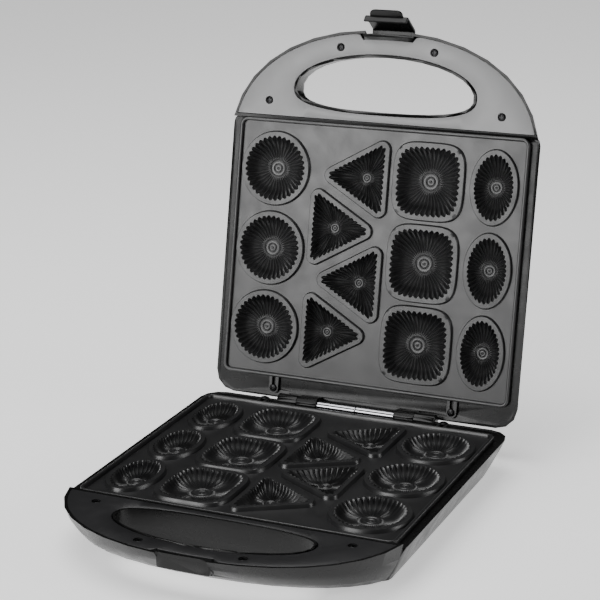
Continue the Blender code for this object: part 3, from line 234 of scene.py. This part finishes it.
# distances in metres below which points are one point or lie on an edge
tolerance = {"merge": 2e-6, "sliver": 1e-7, "fill": 1e-7, "landEdge": 2e-5, "coverEdge": 4e-5}
# degrees from which an edge between two faces shows as sharp
sharpAngles = {
    "plate": 38.0,
    "cover": 50.0,
    "screw": 35.0,
    "housing": 28.0,
    "latch": 35.0,
    "sleeve": 30.0,
}


# Quads between neighbouring rows of a grid whose last column joins its first.
def gridFaces(rows, columns):
    r, c = np.meshgrid(np.arange(rows - 1), np.arange(columns), indexing="ij")
    nextColumn = (c + 1) % columns
    here, beyond = r * columns, (r + 1) * columns
    quads = [here + c, here + nextColumn, beyond + nextColumn, beyond + c]
    return np.stack(quads, axis=-1).reshape(-1, 4)


# One mesh from (points, faces) pairs; meeting edges are merged and the faces turned outwards.
def pieceFrom(name, surfaces, material, body, sharpAngle, replaces):
    mesh = bpy.data.meshes.new(name)
    points = np.concatenate([p.reshape(-1, 3) for p, f in surfaces])
    starts = np.cumsum([0] + [p.reshape(-1, 3).shape[0] for p, f in surfaces])
    faces = []
    for (p, f), start in zip(surfaces, starts):
        faces += (np.asarray(f) + start).tolist()
    mesh.from_pydata(points.tolist(), [], faces)
    bm = bmesh.new()
    bm.from_mesh(mesh)
    bmesh.ops.remove_doubles(bm, verts=bm.verts, dist=tolerance["merge"])
    bmesh.ops.dissolve_degenerate(bm, edges=bm.edges, dist=tolerance["sliver"])
    bmesh.ops.recalc_face_normals(bm, faces=bm.faces)
    bm.to_mesh(mesh)
    bm.free()
    mesh.shade_smooth()
    mesh.set_sharp_from_angle(angle=math.radians(sharpAngle))
    mesh.materials.append(materials[material])
    obj = bpy.data.objects.new(name, mesh)
    bpy.context.scene.collection.objects.link(obj)
    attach(obj, body)
    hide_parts(*replaces)
    return obj


# Flips a piece whose open edge left its faces pointing in; most faces look along outward.
def faceOutwards(mesh, outward):
    normals = np.empty(len(mesh.polygons) * 3)
    mesh.polygons.foreach_get("normal", normals)
    areas = np.empty(len(mesh.polygons))
    mesh.polygons.foreach_get("area", areas)
    if ((normals.reshape(-1, 3) @ np.asarray(outward)) * areas).sum() < 0:
        mesh.flip_normals()
        mesh.update()


# Four quarter circles whose ends are joined by straight edges; the same count for any size.
def roundedRectangle(halfWidth, rear, front, corner, steps):
    turn = np.linspace(0, math.pi / 2, steps)
    centres = [
        (halfWidth, rear, 1, 1),
        (-halfWidth, rear, -1, 1),
        (-halfWidth, front, -1, -1),
        (halfWidth, front, 1, -1),
    ]
    arcs = []
    for i, (x, y, sx, sy) in enumerate(centres):
        a = turn + i * math.pi / 2
        middleX, middleY = x - sx * corner, y - sy * corner
        arcs.append(np.stack([middleX + corner * np.cos(a), middleY + corner * np.sin(a)], axis=-1))
    return np.concatenate(arcs)


# (radius, height) pairs turned about Z.
def lathe(profile, sides):
    turn = np.linspace(0, 2 * math.pi, sides, endpoint=False)
    profile = np.asarray(profile, float)
    ring = np.stack([np.cos(turn), np.sin(turn)], axis=-1)
    points = np.zeros((len(profile), sides, 3))
    points[..., :2] = profile[:, None, :1] * ring[None]
    points[..., 2] = profile[:, None, 1]
    return points, gridFaces(len(profile), sides)


# The plates
moulds = {
    "draft": 0.0011,
    "ring": 0.0037,  # width of the raised ring's top
    "ringEase": 0.0004,  # height of the curves at the ring's foot and edge
    "ringRound": 0.0003,
    "bowlRound": 0.0010,
    "depth": 0.0085,
    "samples": 4001,
    "flutes": {"round": 36, "square": 40, "oval": 34, "triangle": 36},
    "perFlute": 6,
    "fluteHeight": 0.00105,
    "fluteGrowth": 1.5,
    "scallop": 0.075,  # of the distance to the middle
    "centreCircle": {"round": 0.0079, "square": 0.0083, "oval": 0.0064, "triangle": 0.0050},
    "centreShare": 0.25,  # the row that lies on the centre circle
    "bowlPower": 6.0,
    "bowlShares": (
        1, 0.975, 0.95, 0.91, 0.86, 0.79, 0.70, 0.60, 0.50, 0.41, 0.34, 0.30,
        0.272, 0.25, 0.228, 0.20, 0.17, 0.147, 0.125, 0.103, 0.075, 0.045, 0.02, 0.0,
    ),
    # the share where each of these starts, and over how much it grows to its full size
    "wallRise": (0.62, 0.25),
    "fluteRise": (0.27, 0.10),
    "outlineRise": (0.27, 0.33),
    "rimRise": (0.0, 0.05),
    "round": (0.0353, 0.0353, 2.0),  # half width, half length, power
    "square": (0.0352, 0.0363, 4.0),
    "oval": (0.0230, 0.0348, 2.0),
    "triangleCore": 0.0163,
    "triangleCorner": 0.0078,
    "rows": (-0.309, 0.0, 0.309),  # of the plate's length
    "triangleRows": (-0.3018, -0.1000, 0.1000, 0.3018),
    "columns": {"round": 0.3622, "square": -0.1731, "oval": -0.3932},  # of the plate's width
    "triangleColumns": (0.0459, 0.1449),
    # share where a small circle lies, its width as a share, its height
    "centreRings": ((0.25, 0.030, 0.00050), (0.125, 0.022, 0.00045), (0.0, 0.040, 0.00060)),
    "centreSharpness": 2.2,
}


# Distance from a mould's middle to its outline, grown outwards.
# Round, oval and square are superellipses. A triangle is a small triangle with a disc rolled round
# it: near a corner the ray meets the disc, elsewhere the straight side.
def mouldRadius(kind, angle, grow):
    if kind in ("round", "oval", "square"):
        a, b, power = moulds[kind]
        c = np.abs(np.cos(angle)) / (a + grow)
        s = np.abs(np.sin(angle)) / (b + grow)
        return (c**power + s**power) ** (-1 / power)
    core = moulds["triangleCore"]
    disc = moulds["triangleCorner"] + grow
    turned = angle if kind == "triangleOut" else angle + math.pi
    fold = np.abs((turned + math.pi / 3) % (2 * math.pi / 3) - math.pi / 3)
    limit = math.atan2(disc * math.sin(math.pi / 3), 2 * core + disc * math.cos(math.pi / 3))
    side = (core + disc) / np.cos(math.pi / 3 - fold)
    reach = 2 * core * np.sin(np.minimum(fold, limit))
    corner = 2 * core * np.cos(fold) + np.sqrt(disc**2 - reach**2)
    return np.where(fold < limit, corner, side)


# Angles whose points are equally spaced along the outline.
def evenAngles(kind, count):
    dense = np.linspace(0, 2 * math.pi, moulds["samples"])
    r = mouldRadius(kind, dense, 0.0)
    steps = np.hypot(np.diff(r * np.cos(dense)), np.diff(r * np.sin(dense)))
    length = np.concatenate([[0], np.cumsum(steps)])
    return np.interp(np.linspace(0, length[-1], count, endpoint=False), length, dense)


def mouldPlaces():
    places = []
    for kind, column in moulds["columns"].items():
        x = column * plate["width"]
        places += [(kind, x, plate["middle"] + row * plate["length"]) for row in moulds["rows"]]
    for i, row in enumerate(moulds["triangleRows"]):
        kind = ("triangleOut", "triangleIn")[i % 2]
        x = moulds["triangleColumns"][i % 2] * plate["width"]
        places.append((kind, x, plate["middle"] + row * plate["length"]))
    return places


# 0 up to start, then straight up to 1 over the span.
def rise(values, start, span):
    return np.clip((values - start) / span, 0, 1)


# A raised ring, then a fluted bowl.
# The rows of the ring step inwards by an offset. The rows of the bowl shrink towards the middle by
# s, at a depth of 1 - s^6, with pointed ridges that fade where the small circles begin.
def mouldSurface(kind, x, y):
    family = "triangle" if kind.startswith("triangle") else kind
    count = moulds["flutes"][family] * moulds["perFlute"]
    angle = evenAngles(kind, count)
    phase = np.arange(count) / moulds["perFlute"]
    wave = 1 - 2 * np.abs(np.sin(math.pi * phase))[None]  # ridges to a point, valleys round
    ring, draft, ease = moulds["ring"], moulds["draft"], moulds["ringEase"]
    top, land = plate["top"], plate["land"]
    ringRows = [
        (draft, land),
        (draft * 0.80, land + ease),
        (draft * 0.12, top - ease),
        (-moulds["ringRound"], top),
        (-(ring - moulds["bowlRound"]), top),
    ]
    parts = []
    for grow, z in ringRows:
        r = mouldRadius(kind, angle, grow)
        parts.append(np.stack([x + r * np.cos(angle), y + r * np.sin(angle), np.full(count, z)], axis=-1))
    s = np.array(moulds["bowlShares"])[:, None]
    inner = mouldRadius(kind, angle, -ring)[None]
    onWall = rise(s, *moulds["wallRise"])
    fade = rise(s, *moulds["fluteRise"])
    outward = rise(s, *moulds["outlineRise"])
    outward = outward * outward * (3 - 2 * outward)
    circle = moulds["centreCircle"][family] / moulds["centreShare"]
    r = (1 - outward) * s * circle + outward * inner * s
    r = r * (1 - moulds["scallop"] * 0.5 * (1 + wave) * onWall)
    z = top - moulds["depth"] * (1 - s ** moulds["bowlPower"])
    ridge = moulds["fluteHeight"] * np.minimum(s * moulds["fluteGrowth"], 1.0) * fade * wave
    z = z + ridge * rise(1 - s, *moulds["rimRise"])
    for radius, width, height in moulds["centreRings"]:
        z = z + height * np.exp(-(((s - radius) / width) ** 2) * moulds["centreSharpness"])
    bowl = np.stack([x + r * np.cos(angle)[None], y + r * np.sin(angle)[None], z + 0 * r], axis=-1)
    points = np.concatenate([np.stack(parts), bowl])
    return points, gridFaces(points.shape[0], count)


# A constrained triangulation of the flat area inside the first loop, with the other loops as edges.
def filledBetween(loops):
    points = np.concatenate(loops)
    starts = np.cumsum([0] + [len(loop) for loop in loops])
    edges = []
    for loop, start in zip(loops, starts):
        i = np.arange(len(loop))
        edges += np.stack([start + i, start + (i + 1) % len(loop)], axis=-1).tolist()
    corners = [Vector(p) for p in points.tolist()]
    outer = [list(range(len(loops[0])))]
    made = delaunay_2d_cdt(corners, edges, outer, 1, tolerance["fill"])
    return np.array([v[:] for v in made[0]]), np.array(made[2])


# The flat floor of the plate between its border and the moulds' outlines.
def landSurface(outlines, border):
    flat, triangles = filledBetween([border] + outlines)
    centre = flat[triangles].mean(axis=1)
    keep = np.ones(len(triangles), bool)
    for kind, x, y in mouldPlaces():
        dx, dy = centre[:, 0] - x, centre[:, 1] - y
        outline = mouldRadius(kind, np.arctan2(dy, dx), moulds["draft"])
        keep &= np.hypot(dx, dy) > outline - tolerance["landEdge"]
    return np.column_stack([flat, np.full(len(flat), plate["land"])]), triangles[keep]


# small steps of the border's profile: how far in from the side they are named for, and how far
# below the top or, at the skirt, above its lower edge
lip = {
    "foot": 0.0006,
    "shoulder": 0.0007,
    "innerEdge": ((0.0003, 0.0002), (0.0008, 0.0)),
    "outerEdge": ((0.0009, 0.0), (0.0004, 0.0002), (0.0001, 0.0006), (0.0, 0.0012)),
    "skirtEdge": ((0.0, 0.0005), (0.0006, 0.0), (0.0024, 0.0)),
    "underInset": 0.0026,
    "underDepth": 0.0030,
}


# The raised border and the skirt below it, as a profile carried round the plate.
def lipSurface():
    width, draft = plate["lipWidth"], plate["lipDraft"]
    top, land = plate["top"], plate["land"]
    profile = [
        (width + draft, land),
        (width + draft * 0.8, land + lip["foot"]),
        (width + draft * 0.2, top - lip["shoulder"]),
    ]
    profile += [(width - inset, top - down) for inset, down in lip["innerEdge"]]
    profile += [(inset, top - down) for inset, down in lip["outerEdge"]]
    profile += [(inset, up - plate["skirt"]) for inset, up in lip["skirtEdge"]]
    profile.append((lip["underInset"], land - lip["underDepth"]))
    rows = []
    for inset, z in profile:
        half = plate["width"] / 2 - inset
        rear, front = plate["rear"] - inset, plate["front"] + inset
        outline = roundedRectangle(half, rear, front, plate["corner"] - inset, plate["cornerSteps"])
        rows.append(np.column_stack([outline, np.full(len(outline), z)]))
    points = np.stack(rows)
    return points, gridFaces(points.shape[0], points.shape[1])


lugs = {
    "x": 0.092,
    "behind": 0.011,
    "radius": 0.0052,
    "thickness": 0.0027,
    "low": -0.0047,
    "hole": 0.0019,
    "underside": 0.003,  # from the edge inwards
    "ease": 0.0004,
    "overlap": 0.001,  # into the plate
    "steps": 25,
}


# A tongue with a round end behind the plate: its outline, stepped in at the top and bottom edges.
def lugSurface(x):
    turn = np.linspace(0, math.pi, lugs["steps"])
    y = plate["rear"] + lugs["behind"]
    root = plate["rear"] - lugs["overlap"]
    radius, ease, low = lugs["radius"], lugs["ease"], lugs["low"]
    top = low + lugs["thickness"]
    profile = [
        (lugs["underside"], low),
        (ease, low),
        (0.0, low + ease),
        (0.0, top - ease),
        (ease, top),
        (radius - lugs["hole"], top),
    ]
    rows = []
    for inset, z in profile:
        reach = radius - inset
        arc = np.stack([x + reach * np.cos(turn), y + reach * np.sin(turn)], axis=-1)
        outline = np.concatenate([arc, [[x - radius + inset, root], [x + radius - inset, root]]])
        rows.append(np.column_stack([outline, np.full(len(outline), z)]))
    points = np.stack(rows)
    return points, gridFaces(points.shape[0], points.shape[1])


def buildPlate(half):
    place = halves[half]["place"]
    surfaces = []
    outlines = []
    for kind, x, y in mouldPlaces():
        points, faces = mouldSurface(kind, x, y)
        outlines.append(points[0, :, :2])
        surfaces.append((place(points), faces))
    border, borderFaces = lipSurface()
    land, landFaces = landSurface(outlines, border[0, :, :2])
    surfaces.append((place(border), borderFaces))
    surfaces.append((place(land), landFaces))
    for side in (-1, 1):
        points, faces = lugSurface(side * lugs["x"])
        surfaces.append((place(points), faces))
    node = halves[half]["plate"]
    angle = sharpAngles["plate"]
    obj = pieceFrom(node + "_casting", surfaces, "plateCoating", half, angle, (node,))
    up = place(np.array([0.0, 0.0, 1.0])) - place(np.zeros(3))
    faceOutwards(obj.data, up)


for half in halves:
    buildPlate(half)
print("plates built")


# Handle covers
handle = {
    "halfWidth": 0.1561,
    "reach": 0.1117,  # middle of its curve to its tip
    "centre": plate["front"] + 0.0217,
    "power": 2.2,
    "rear": plate["front"] - 0.0028,
}
grip = {
    "y": plate["front"] - 0.0320,
    "halfWidth": 0.0895,
    "front": 0.0325,
    "rear": 0.0187,
    "frontPower": 2.0,
    "rearPower": 2.8,
}
cover = {
    "inset": 0.0030,  # housing's outside to the panel's edge
    "rearGap": 0.0006,
    "collar": 0.0029,  # finger opening to the panel's inner edge
    "top": -0.00055,
    "thickness": 0.0023,
    "round": 0.0007,
    "bevelShare": 0.3,  # of the rounding, for the row half way round it
    "notchHalf": 0.0262,
    "notchDepth": 0.0058,
    "notchSlant": 0.0030,
    "seatRadius": 0.0041,
    "seatDepth": 0.0016,
    "seatSides": 40,
    "curvePoints": 121,
    "rearPoints": 42,
    "screws": ((0.0472, 0.0721), (0.1177, 0.0174)),  # from the middle, in front of the plate
}
coverScrews = [(side * x, plate["front"] - reach) for x, reach in cover["screws"] for side in (-1, 1)]


# The panel's edge: a superellipse from the right rear corner round the tip to the left one, notched
# for the latch, then the straight rear edge.
def coverOutline():
    rear = handle["rear"] - cover["rearGap"]
    a = handle["halfWidth"] - cover["inset"]
    b = handle["reach"] - cover["inset"]
    low = math.asin(((handle["centre"] - rear) / b) ** (handle["power"] / 2))
    turn = np.linspace(low, math.pi - low, cover["curvePoints"])
    c, s = np.cos(turn), np.sin(turn)
    x = np.sign(c) * np.abs(c) ** (2 / handle["power"]) * a
    y = handle["centre"] - b * s ** (2 / handle["power"])
    slant = np.clip((cover["notchHalf"] + cover["notchSlant"] - np.abs(x)) / cover["notchSlant"], 0, 1)
    y = y + cover["notchDepth"] * slant
    straight = np.linspace(x[-1], x[0], cover["rearPoints"])[1:-1]
    rearEdge = np.column_stack([straight, np.full(len(straight), rear)])
    return np.concatenate([np.stack([x, y], axis=-1), rearEdge])


# Distance from the finger opening's middle to its edge: a superellipse in front, a squarer one behind.
def gripAround(angle, grow):
    front = np.sin(angle) < 0
    power = np.where(front, grip["frontPower"], grip["rearPower"])
    reach = np.where(front, grip["front"], grip["rear"]) + grow
    c = np.abs(np.cos(angle)) / (grip["halfWidth"] + grow)
    s = np.abs(np.sin(angle)) / reach
    return (c**power + s**power) ** (-1 / power)


# A flat ring between the finger opening and the handle's curve, with rounded edges turned down.
def coverSurface():
    outer = coverOutline()
    angle = np.arctan2(outer[:, 1] - grip["y"], outer[:, 0])
    r = gripAround(angle, cover["collar"])
    inner = np.stack([r * np.cos(angle), grip["y"] + r * np.sin(angle)], axis=-1)
    top, edge = cover["top"], cover["round"]
    low, bevel = top - cover["thickness"], edge * cover["bevelShare"]
    span = np.linalg.norm(outer - inner, axis=1)[:, None]
    # share of the way from the inner to the outer edge, height, shift outwards
    rows = [
        (0.0, top, edge),
        (0.0, top - bevel, bevel),
        (0.0, top - edge, 0.0),
        (0.0, low, 0.0),
        (1.0, low, 0.0),
        (1.0, top - edge, 0.0),
        (1.0, top - bevel, -bevel),
        (1.0, top, -edge),
    ]
    parts = []
    for share, z, shift in rows:
        flat = inner + (outer - inner) * (share + shift / span)
        parts.append(np.column_stack([flat, np.full(len(flat), z)]))
    rim = np.stack(parts)
    turn = np.linspace(0, 2 * math.pi, cover["seatSides"], endpoint=False)
    circle = np.stack([np.cos(turn), np.sin(turn)], axis=-1)
    radius, seatTop = cover["seatRadius"], top - cover["seatDepth"]
    loops = [rim[-1, :, :2], rim[0, :, :2]]
    surfaces = [(rim, gridFaces(rim.shape[0], rim.shape[1]))]
    for x, y in coverScrews:
        seat = []
        for r, z in ((radius, top), (radius, seatTop), (0.0, seatTop)):
            seat.append(np.column_stack([np.array([x, y]) + r * circle, np.full(len(turn), z)]))
        surfaces.append((np.stack(seat), gridFaces(len(seat), len(turn))))
        loops.append(seat[0][:, :2])
    flat, triangles = filledBetween(loops)
    centre = flat[triangles].mean(axis=1)
    around = np.arctan2(centre[:, 1] - grip["y"], centre[:, 0])
    opening = gripAround(around, cover["collar"] + edge)
    keep = np.hypot(centre[:, 0], centre[:, 1] - grip["y"]) > opening - tolerance["coverEdge"]
    for x, y in coverScrews:
        keep &= np.hypot(centre[:, 0] - x, centre[:, 1] - y) > radius - tolerance["coverEdge"]
    surfaces.append((np.column_stack([flat, np.full(len(flat), top)]), triangles[keep]))
    return surfaces


def buildCover(half, material):
    place = halves[half]["place"]
    surfaces = [(place(points), faces) for points, faces in coverSurface()]
    node = halves[half]["cover"]
    pieceFrom(node + "_panel", surfaces, material, half, sharpAngles["cover"], (node,))


buildCover("base", "darkCover")
# the lid's cover gets a lighter grey than the base's cover, painted reflection on the same plastic
buildCover("lid", "greyCover")
print("handle covers built")


# Screws
screw = {
    "radius": 0.0036,
    "height": 0.0013,
    "recess": 0.0024,  # reach of the cross's arms
    "recessDepth": 0.0009,
    "recessEase": 0.0003,
    "slot": 0.00055,  # half the width of an arm
    "slotEase": 0.00012,
    "sides": 96,
    "crossRings": (0.00001, 0.0027, 22),  # first, last and how many
    "edgeRings": (0.0030, 0.0033, 0.00352),
    "domePower": 3.2,
    "domeShare": 0.55,
    "lugGap": 0.0003,
}


# A domed pan head: rings about its middle, sunk where they lie in the arms of the cross.
def screwHead(x, y, seat):
    radius = screw["radius"]
    r = np.concatenate([np.linspace(*screw["crossRings"]), screw["edgeRings"], [radius, radius]])
    turn = np.linspace(0, 2 * math.pi, screw["sides"], endpoint=False)
    px = r[:, None] * np.cos(turn)
    py = r[:, None] * np.sin(turn)
    fall = (r / radius) ** screw["domePower"] * screw["domeShare"]
    z = seat + screw["height"] * np.clip(1 - fall, 0, 1)
    z[-1] = seat
    z = z[:, None] + 0 * px
    arm = np.minimum(np.abs(px + py), np.abs(px - py)) / math.sqrt(2)
    inArm = np.clip((screw["slot"] - arm) / screw["slotEase"], 0, 1)
    inRecess = np.clip((screw["recess"] - np.hypot(px, py)) / screw["recessEase"], 0, 1)
    z = z - screw["recessDepth"] * (inArm * inRecess)
    return np.stack([x + px, y + py, z], axis=-1), gridFaces(len(r), screw["sides"])


def buildScrew(half, name, x, y, seat):
    points, faces = screwHead(x, y, seat)
    surfaces = [(halves[half]["place"](points), faces)]
    angle = sharpAngles["screw"]
    pieceFrom(name + "_head", surfaces, "blackenedScrew", half, angle, (name,))


def buildScrews(half):
    coverSeat = cover["top"] - cover["seatDepth"]
    for i, (x, y) in enumerate(sorted(coverScrews), 1):
        buildScrew(half, f"{half}_handle_screw_{i}", x, y, coverSeat)
    lugSeat = lugs["low"] + lugs["thickness"] + screw["lugGap"]
    for i, side in enumerate((-1, 1), 1):
        y = plate["rear"] + lugs["behind"]
        buildScrew(half, f"{half}_lug_screw_{i}", side * lugs["x"], y, lugSeat)


for half in halves:
    buildScrews(half)
print("screws built")


# Housings: the frame's own solids, with their facets merged and smoothed
def buildHousing(node, body):
    mesh = nodes[node].data.copy()
    bm = bmesh.new()
    bm.from_mesh(mesh)
    bmesh.ops.remove_doubles(bm, verts=bm.verts, dist=tolerance["merge"])
    bm.to_mesh(mesh)
    bm.free()
    mesh.shade_smooth()
    mesh.set_sharp_from_angle(angle=math.radians(sharpAngles["housing"]))
    mesh.materials.clear()
    mesh.materials.append(materials["blackMoulding"])
    obj = bpy.data.objects.new(node + "_moulding", mesh)
    bpy.context.scene.collection.objects.link(obj)
    even = obj.modifiers.new("evenNormals", "WEIGHTED_NORMAL")
    even.keep_sharp = True
    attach(obj, body)
    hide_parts(node)


buildHousing("base_shell", "base")
buildHousing("lid_shell", "lid")
print("housings built")

# The latch, drawn closed on the lid half and then swung open about its pin
latch = {
    "halfWidth": 0.0215,
    "tabHalf": 0.0165,
    "thickness": 0.0022,
    "tip": plate["front"] - 0.090,
    "pivot": (0.0125, -0.0115),  # behind the handle's tip, towards the base
    # (y, z) of the corners from the handle's tip
    "strap": (
        (0.0125, -0.0115),
        (0.0055, -0.0115),
        (-0.0018, -0.0085),
        (-0.0022, 0.0160),
        (0.0036, 0.0163),
    ),
    "tab": ((-0.0022, 0.0135), (-0.0030, 0.0170), (-0.0060, 0.0214)),
    "bend": 0.0022,
    "tabBendShare": 0.6,
    "bendSteps": 6,
    "tabCorner": 0.0045,
    "tabSteps": 9,
    "tabEndShare": 0.999,
    "edgeShare": 0.4,  # of the thickness
    "edgeSteps": 5,
    "endShare": 0.97,  # of the width, where the strip ends in a line
    "knuckle": 0.0028,
    "knuckleEase": 0.0004,
    "knuckleSides": 32,
}


# A polyline with each corner replaced by a quadratic curve between points one bend away from it.
def roundedPath(corners, bend, steps):
    corners = np.asarray(corners, float)
    path = [corners[:1]]
    t = np.linspace(0, 1, steps)[:, None]
    for before, here, after in zip(corners[:-2], corners[1:-1], corners[2:]):
        start = here + (before - here) / np.linalg.norm(before - here) * bend
        end = here + (after - here) / np.linalg.norm(after - here) * bend
        path.append((1 - t) ** 2 * start + 2 * t * (1 - t) * here + t**2 * end)
    path.append(corners[-1:])
    return np.concatenate(path)


# A flat strip carried along a path: rounded rectangles across it, with both ends drawn to a line.
def stripSurface(path, halfWidths, thickness):
    along = np.gradient(path, axis=0)
    along /= np.linalg.norm(along, axis=1)[:, None]
    normal = np.stack([-along[:, 1], along[:, 0]], axis=-1)
    corner = thickness * latch["edgeShare"]
    section = roundedRectangle(1.0, thickness / 2, -thickness / 2, corner, latch["edgeSteps"])
    edge = np.sign(section[:, 0]) * (np.abs(section[:, 0]) - 1.0)
    rows = []
    for place, n, half in zip(path, normal, halfWidths):
        x = np.sign(section[:, 0]) * half + edge
        yz = place[None] + section[:, 1:2] * n[None]
        rows.append(np.column_stack([x, yz]))
    for end, at in ((0, 0), (-1, len(rows) + 1)):
        x = rows[end][:, 0] * latch["endShare"]
        rows.insert(at, np.column_stack([x, np.repeat(path[end][None], len(section), axis=0)]))
    points = np.stack(rows)
    return points, gridFaces(points.shape[0], points.shape[1])


def buildLatch():
    openBy = math.radians(latchJoint["range_deg"][1])
    c, s = math.cos(openBy), math.sin(openBy)
    pivot = np.array(latch["pivot"])
    strap = roundedPath(latch["strap"], latch["bend"], latch["bendSteps"])
    tab = roundedPath(latch["tab"], latch["bend"] * latch["tabBendShare"], latch["bendSteps"])
    t = np.linspace(0, 1, latch["tabSteps"])[1:, None]
    tab = np.concatenate([tab[:-1], tab[-2] + (tab[-1] - tab[-2]) * t])
    left = np.linalg.norm(tab[-1] - tab, axis=1)
    corner = latch["tabCorner"]
    short = np.clip(1 - left / corner, 0, 1)
    tabWidths = latch["tabHalf"] - corner * (1 - np.sqrt(1 - short**2 * latch["tabEndShare"]))
    pin = np.array([0.0, latch["tip"] + pivot[0], pivot[1]])
    surfaces = []
    for path, widths in ((strap, np.full(len(strap), latch["halfWidth"])), (tab, tabWidths)):
        points, faces = stripSurface(path, widths, latch["thickness"])
        y, z = points[..., 1] - pivot[0], points[..., 2] - pivot[1]
        placed = np.stack([points[..., 0], y * c - z * s, y * s + z * c], axis=-1)
        surfaces.append((lidFromHalf(placed + pin), faces))
    end, radius, ease = latch["halfWidth"], latch["knuckle"], latch["knuckleEase"]
    profile = [
        (0.0, -end),
        (radius - ease, -end),
        (radius, -end + ease),
        (radius, end - ease),
        (radius - ease, end),
        (0.0, end),
    ]
    knuckle, knuckleFaces = lathe(profile, latch["knuckleSides"])
    surfaces.append((lidFromHalf(knuckle[..., [2, 0, 1]] + pin), knuckleFaces))
    angle = sharpAngles["latch"]
    pieceFrom("latch_clip", surfaces, "blackMoulding", "latch", angle, ("latch",))


buildLatch()
print("latch built")

# Hinge sleeves
sleeve = {"radius": 0.0048, "bore": 0.0033, "chamfer": 0.0004, "sides": 72}


# A short tube along X with its two rims eased, from a closed profile turned about the hinge line.
def buildSleeve(side):
    node = "hinge_sleeve_" + side
    low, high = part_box(node)
    start, end = low.x, high.x
    outer, inner, ease = sleeve["radius"], sleeve["bore"], sleeve["chamfer"]
    profile = [
        (inner, start + ease),
        (inner + ease, start),
        (outer - ease, start),
        (outer, start + ease),
        (outer, end - ease),
        (outer - ease, end),
        (inner + ease, end),
        (inner, end - ease),
        (inner, start + ease),
    ]
    points, faces = lathe(profile, sleeve["sides"])
    points = points[..., [2, 1, 0]] * np.array([1.0, 1.0, -1.0])
    points = points + np.array([0.0, hingeY, closingHeight - hingeDrop])
    angle = sharpAngles["sleeve"]
    pieceFrom(node + "_tube", [(points, faces)], "polishedChrome", "base", angle, (node,))


for side in ("left", "right"):
    buildSleeve(side)
print("sleeves built")

# The rest of the frame keeps its shape and gets its finish, by how its names start.
# A heater's clips come after the heater, whose name theirs start with.
finishOfNode = {
    "foot": "rubberSole",
    "cord_gland": "rubberSole",
    "hinge_pin": "plainSteel",
    "latch_pin": "plainSteel",
    "lower_heater": "heaterSheath",
    "upper_heater": "heaterSheath",
    "lower_heater_clip": "plainSteel",
    "upper_heater_clip": "plainSteel",
    "lower_reflector": "millSheet",
    "upper_reflector": "millSheet",
    "terminal_block": "ceramicBlock",
    "thermal_fuse": "fibreSleeve",
    "thermostat": "plainSteel",
    "power_lamp_lens": "redLens",
    "ready_lamp_lens": "greenLens",
    "base_plate_screw": "plainSteel",
    "lid_plate_screw": "plainSteel",
}
for start, material in finishOfNode.items():
    for name, obj in nodes.items():
        if name.startswith(start) and not obj.hide_render:
            obj.data.materials.clear()
            obj.data.materials.append(materials[material])
print("inner parts finished")

# Floor, light and camera
studio = {
    "floorSize": 16.0,
    "floorColour": (0.92, 0.92, 0.92),
    "floorRoughness": 0.9,
    "floorGlow": 0.70,
    "horizon": 0.30,
    "zenith": 1.10,
    "skyRange": (0.15, 0.8),  # heights between which the sky brightens
    # name: energy, size, place, aim
    "lamps": {
        "keySoftbox": (34.0, 1.3, (-0.95, -2.0, 0.95), (0.0, 0.15, 0.24)),
        "topSoftbox": (30.0, 1.6, (-0.3, 0.1, 2.1), (0.0, 0.0, 0.1)),
        "sideSoftbox": (7.0, 0.7, (1.9, 0.2, 0.9), (0.1, 0.0, 0.1)),
    },
}


def buildStage():
    half = studio["floorSize"] / 2
    mesh = bpy.data.meshes.new("floor")
    corners = [(-half, -half, 0), (half, -half, 0), (half, half, 0), (-half, half, 0)]
    mesh.from_pydata(corners, [], [(0, 1, 2, 3)])
    floor = bpy.data.objects.new("floor", mesh)
    paper, _, shader, _ = newMaterial("palePaper", studio["floorColour"], studio["floorRoughness"])
    shader.inputs["Emission Color"].default_value = (1.0, 1.0, 1.0, 1.0)
    shader.inputs["Emission Strength"].default_value = studio["floorGlow"]
    mesh.materials.append(paper)
    bpy.context.scene.collection.objects.link(floor)
    world = bpy.data.worlds.new("studio")
    world.use_nodes = True
    tree = world.node_tree
    where = tree.nodes.new("ShaderNodeTexCoord")
    parts = tree.nodes.new("ShaderNodeSeparateXYZ")
    tree.links.new(where.outputs["Generated"], parts.inputs["Vector"])
    glow = addRamp(tree, parts.outputs["Z"], studio["horizon"], studio["zenith"], *studio["skyRange"])
    tree.links.new(glow, tree.nodes["Background"].inputs["Strength"])
    bpy.context.scene.world = world
    for name, (energy, size, place, aim) in studio["lamps"].items():
        lamp = bpy.data.lights.new(name, "AREA")
        lamp.energy = energy
        lamp.size = size
        obj = bpy.data.objects.new(name, lamp)
        obj.location = place
        obj.rotation_euler = (Vector(aim) - Vector(place)).to_track_quat("-Z", "Y").to_euler()
        bpy.context.scene.collection.objects.link(obj)


camera = {
    "azimuth": math.radians(24.66),
    "elevation": math.radians(17.75),
    "roll": math.radians(-1.12),
    "place": (0.662264, -1.438479, 0.690203),
    "lens": 114.43,
    "sensor": 36.0,
}


# Looks along the photo's azimuth and elevation, with a small roll.
def buildCamera():
    a, e, r = camera["azimuth"], camera["elevation"], camera["roll"]
    back = Vector((math.sin(a) * math.cos(e), -math.cos(a) * math.cos(e), math.sin(e)))
    right = Vector((math.cos(a), math.sin(a), 0.0))
    up = back.cross(right)
    turnedRight = math.cos(r) * right + math.sin(r) * up
    turnedUp = -math.sin(r) * right + math.cos(r) * up
    data = bpy.data.cameras.new("photoCamera")
    data.lens = camera["lens"]
    data.sensor_width = camera["sensor"]
    obj = bpy.data.objects.new("photoCamera", data)
    matrix = Matrix((turnedRight, turnedUp, back)).transposed().to_4x4()
    obj.matrix_world = Matrix.Translation(camera["place"]) @ matrix
    bpy.context.scene.collection.objects.link(obj)
    bpy.context.scene.camera = obj


buildStage()
buildCamera()
print("stage, lights and camera ready")
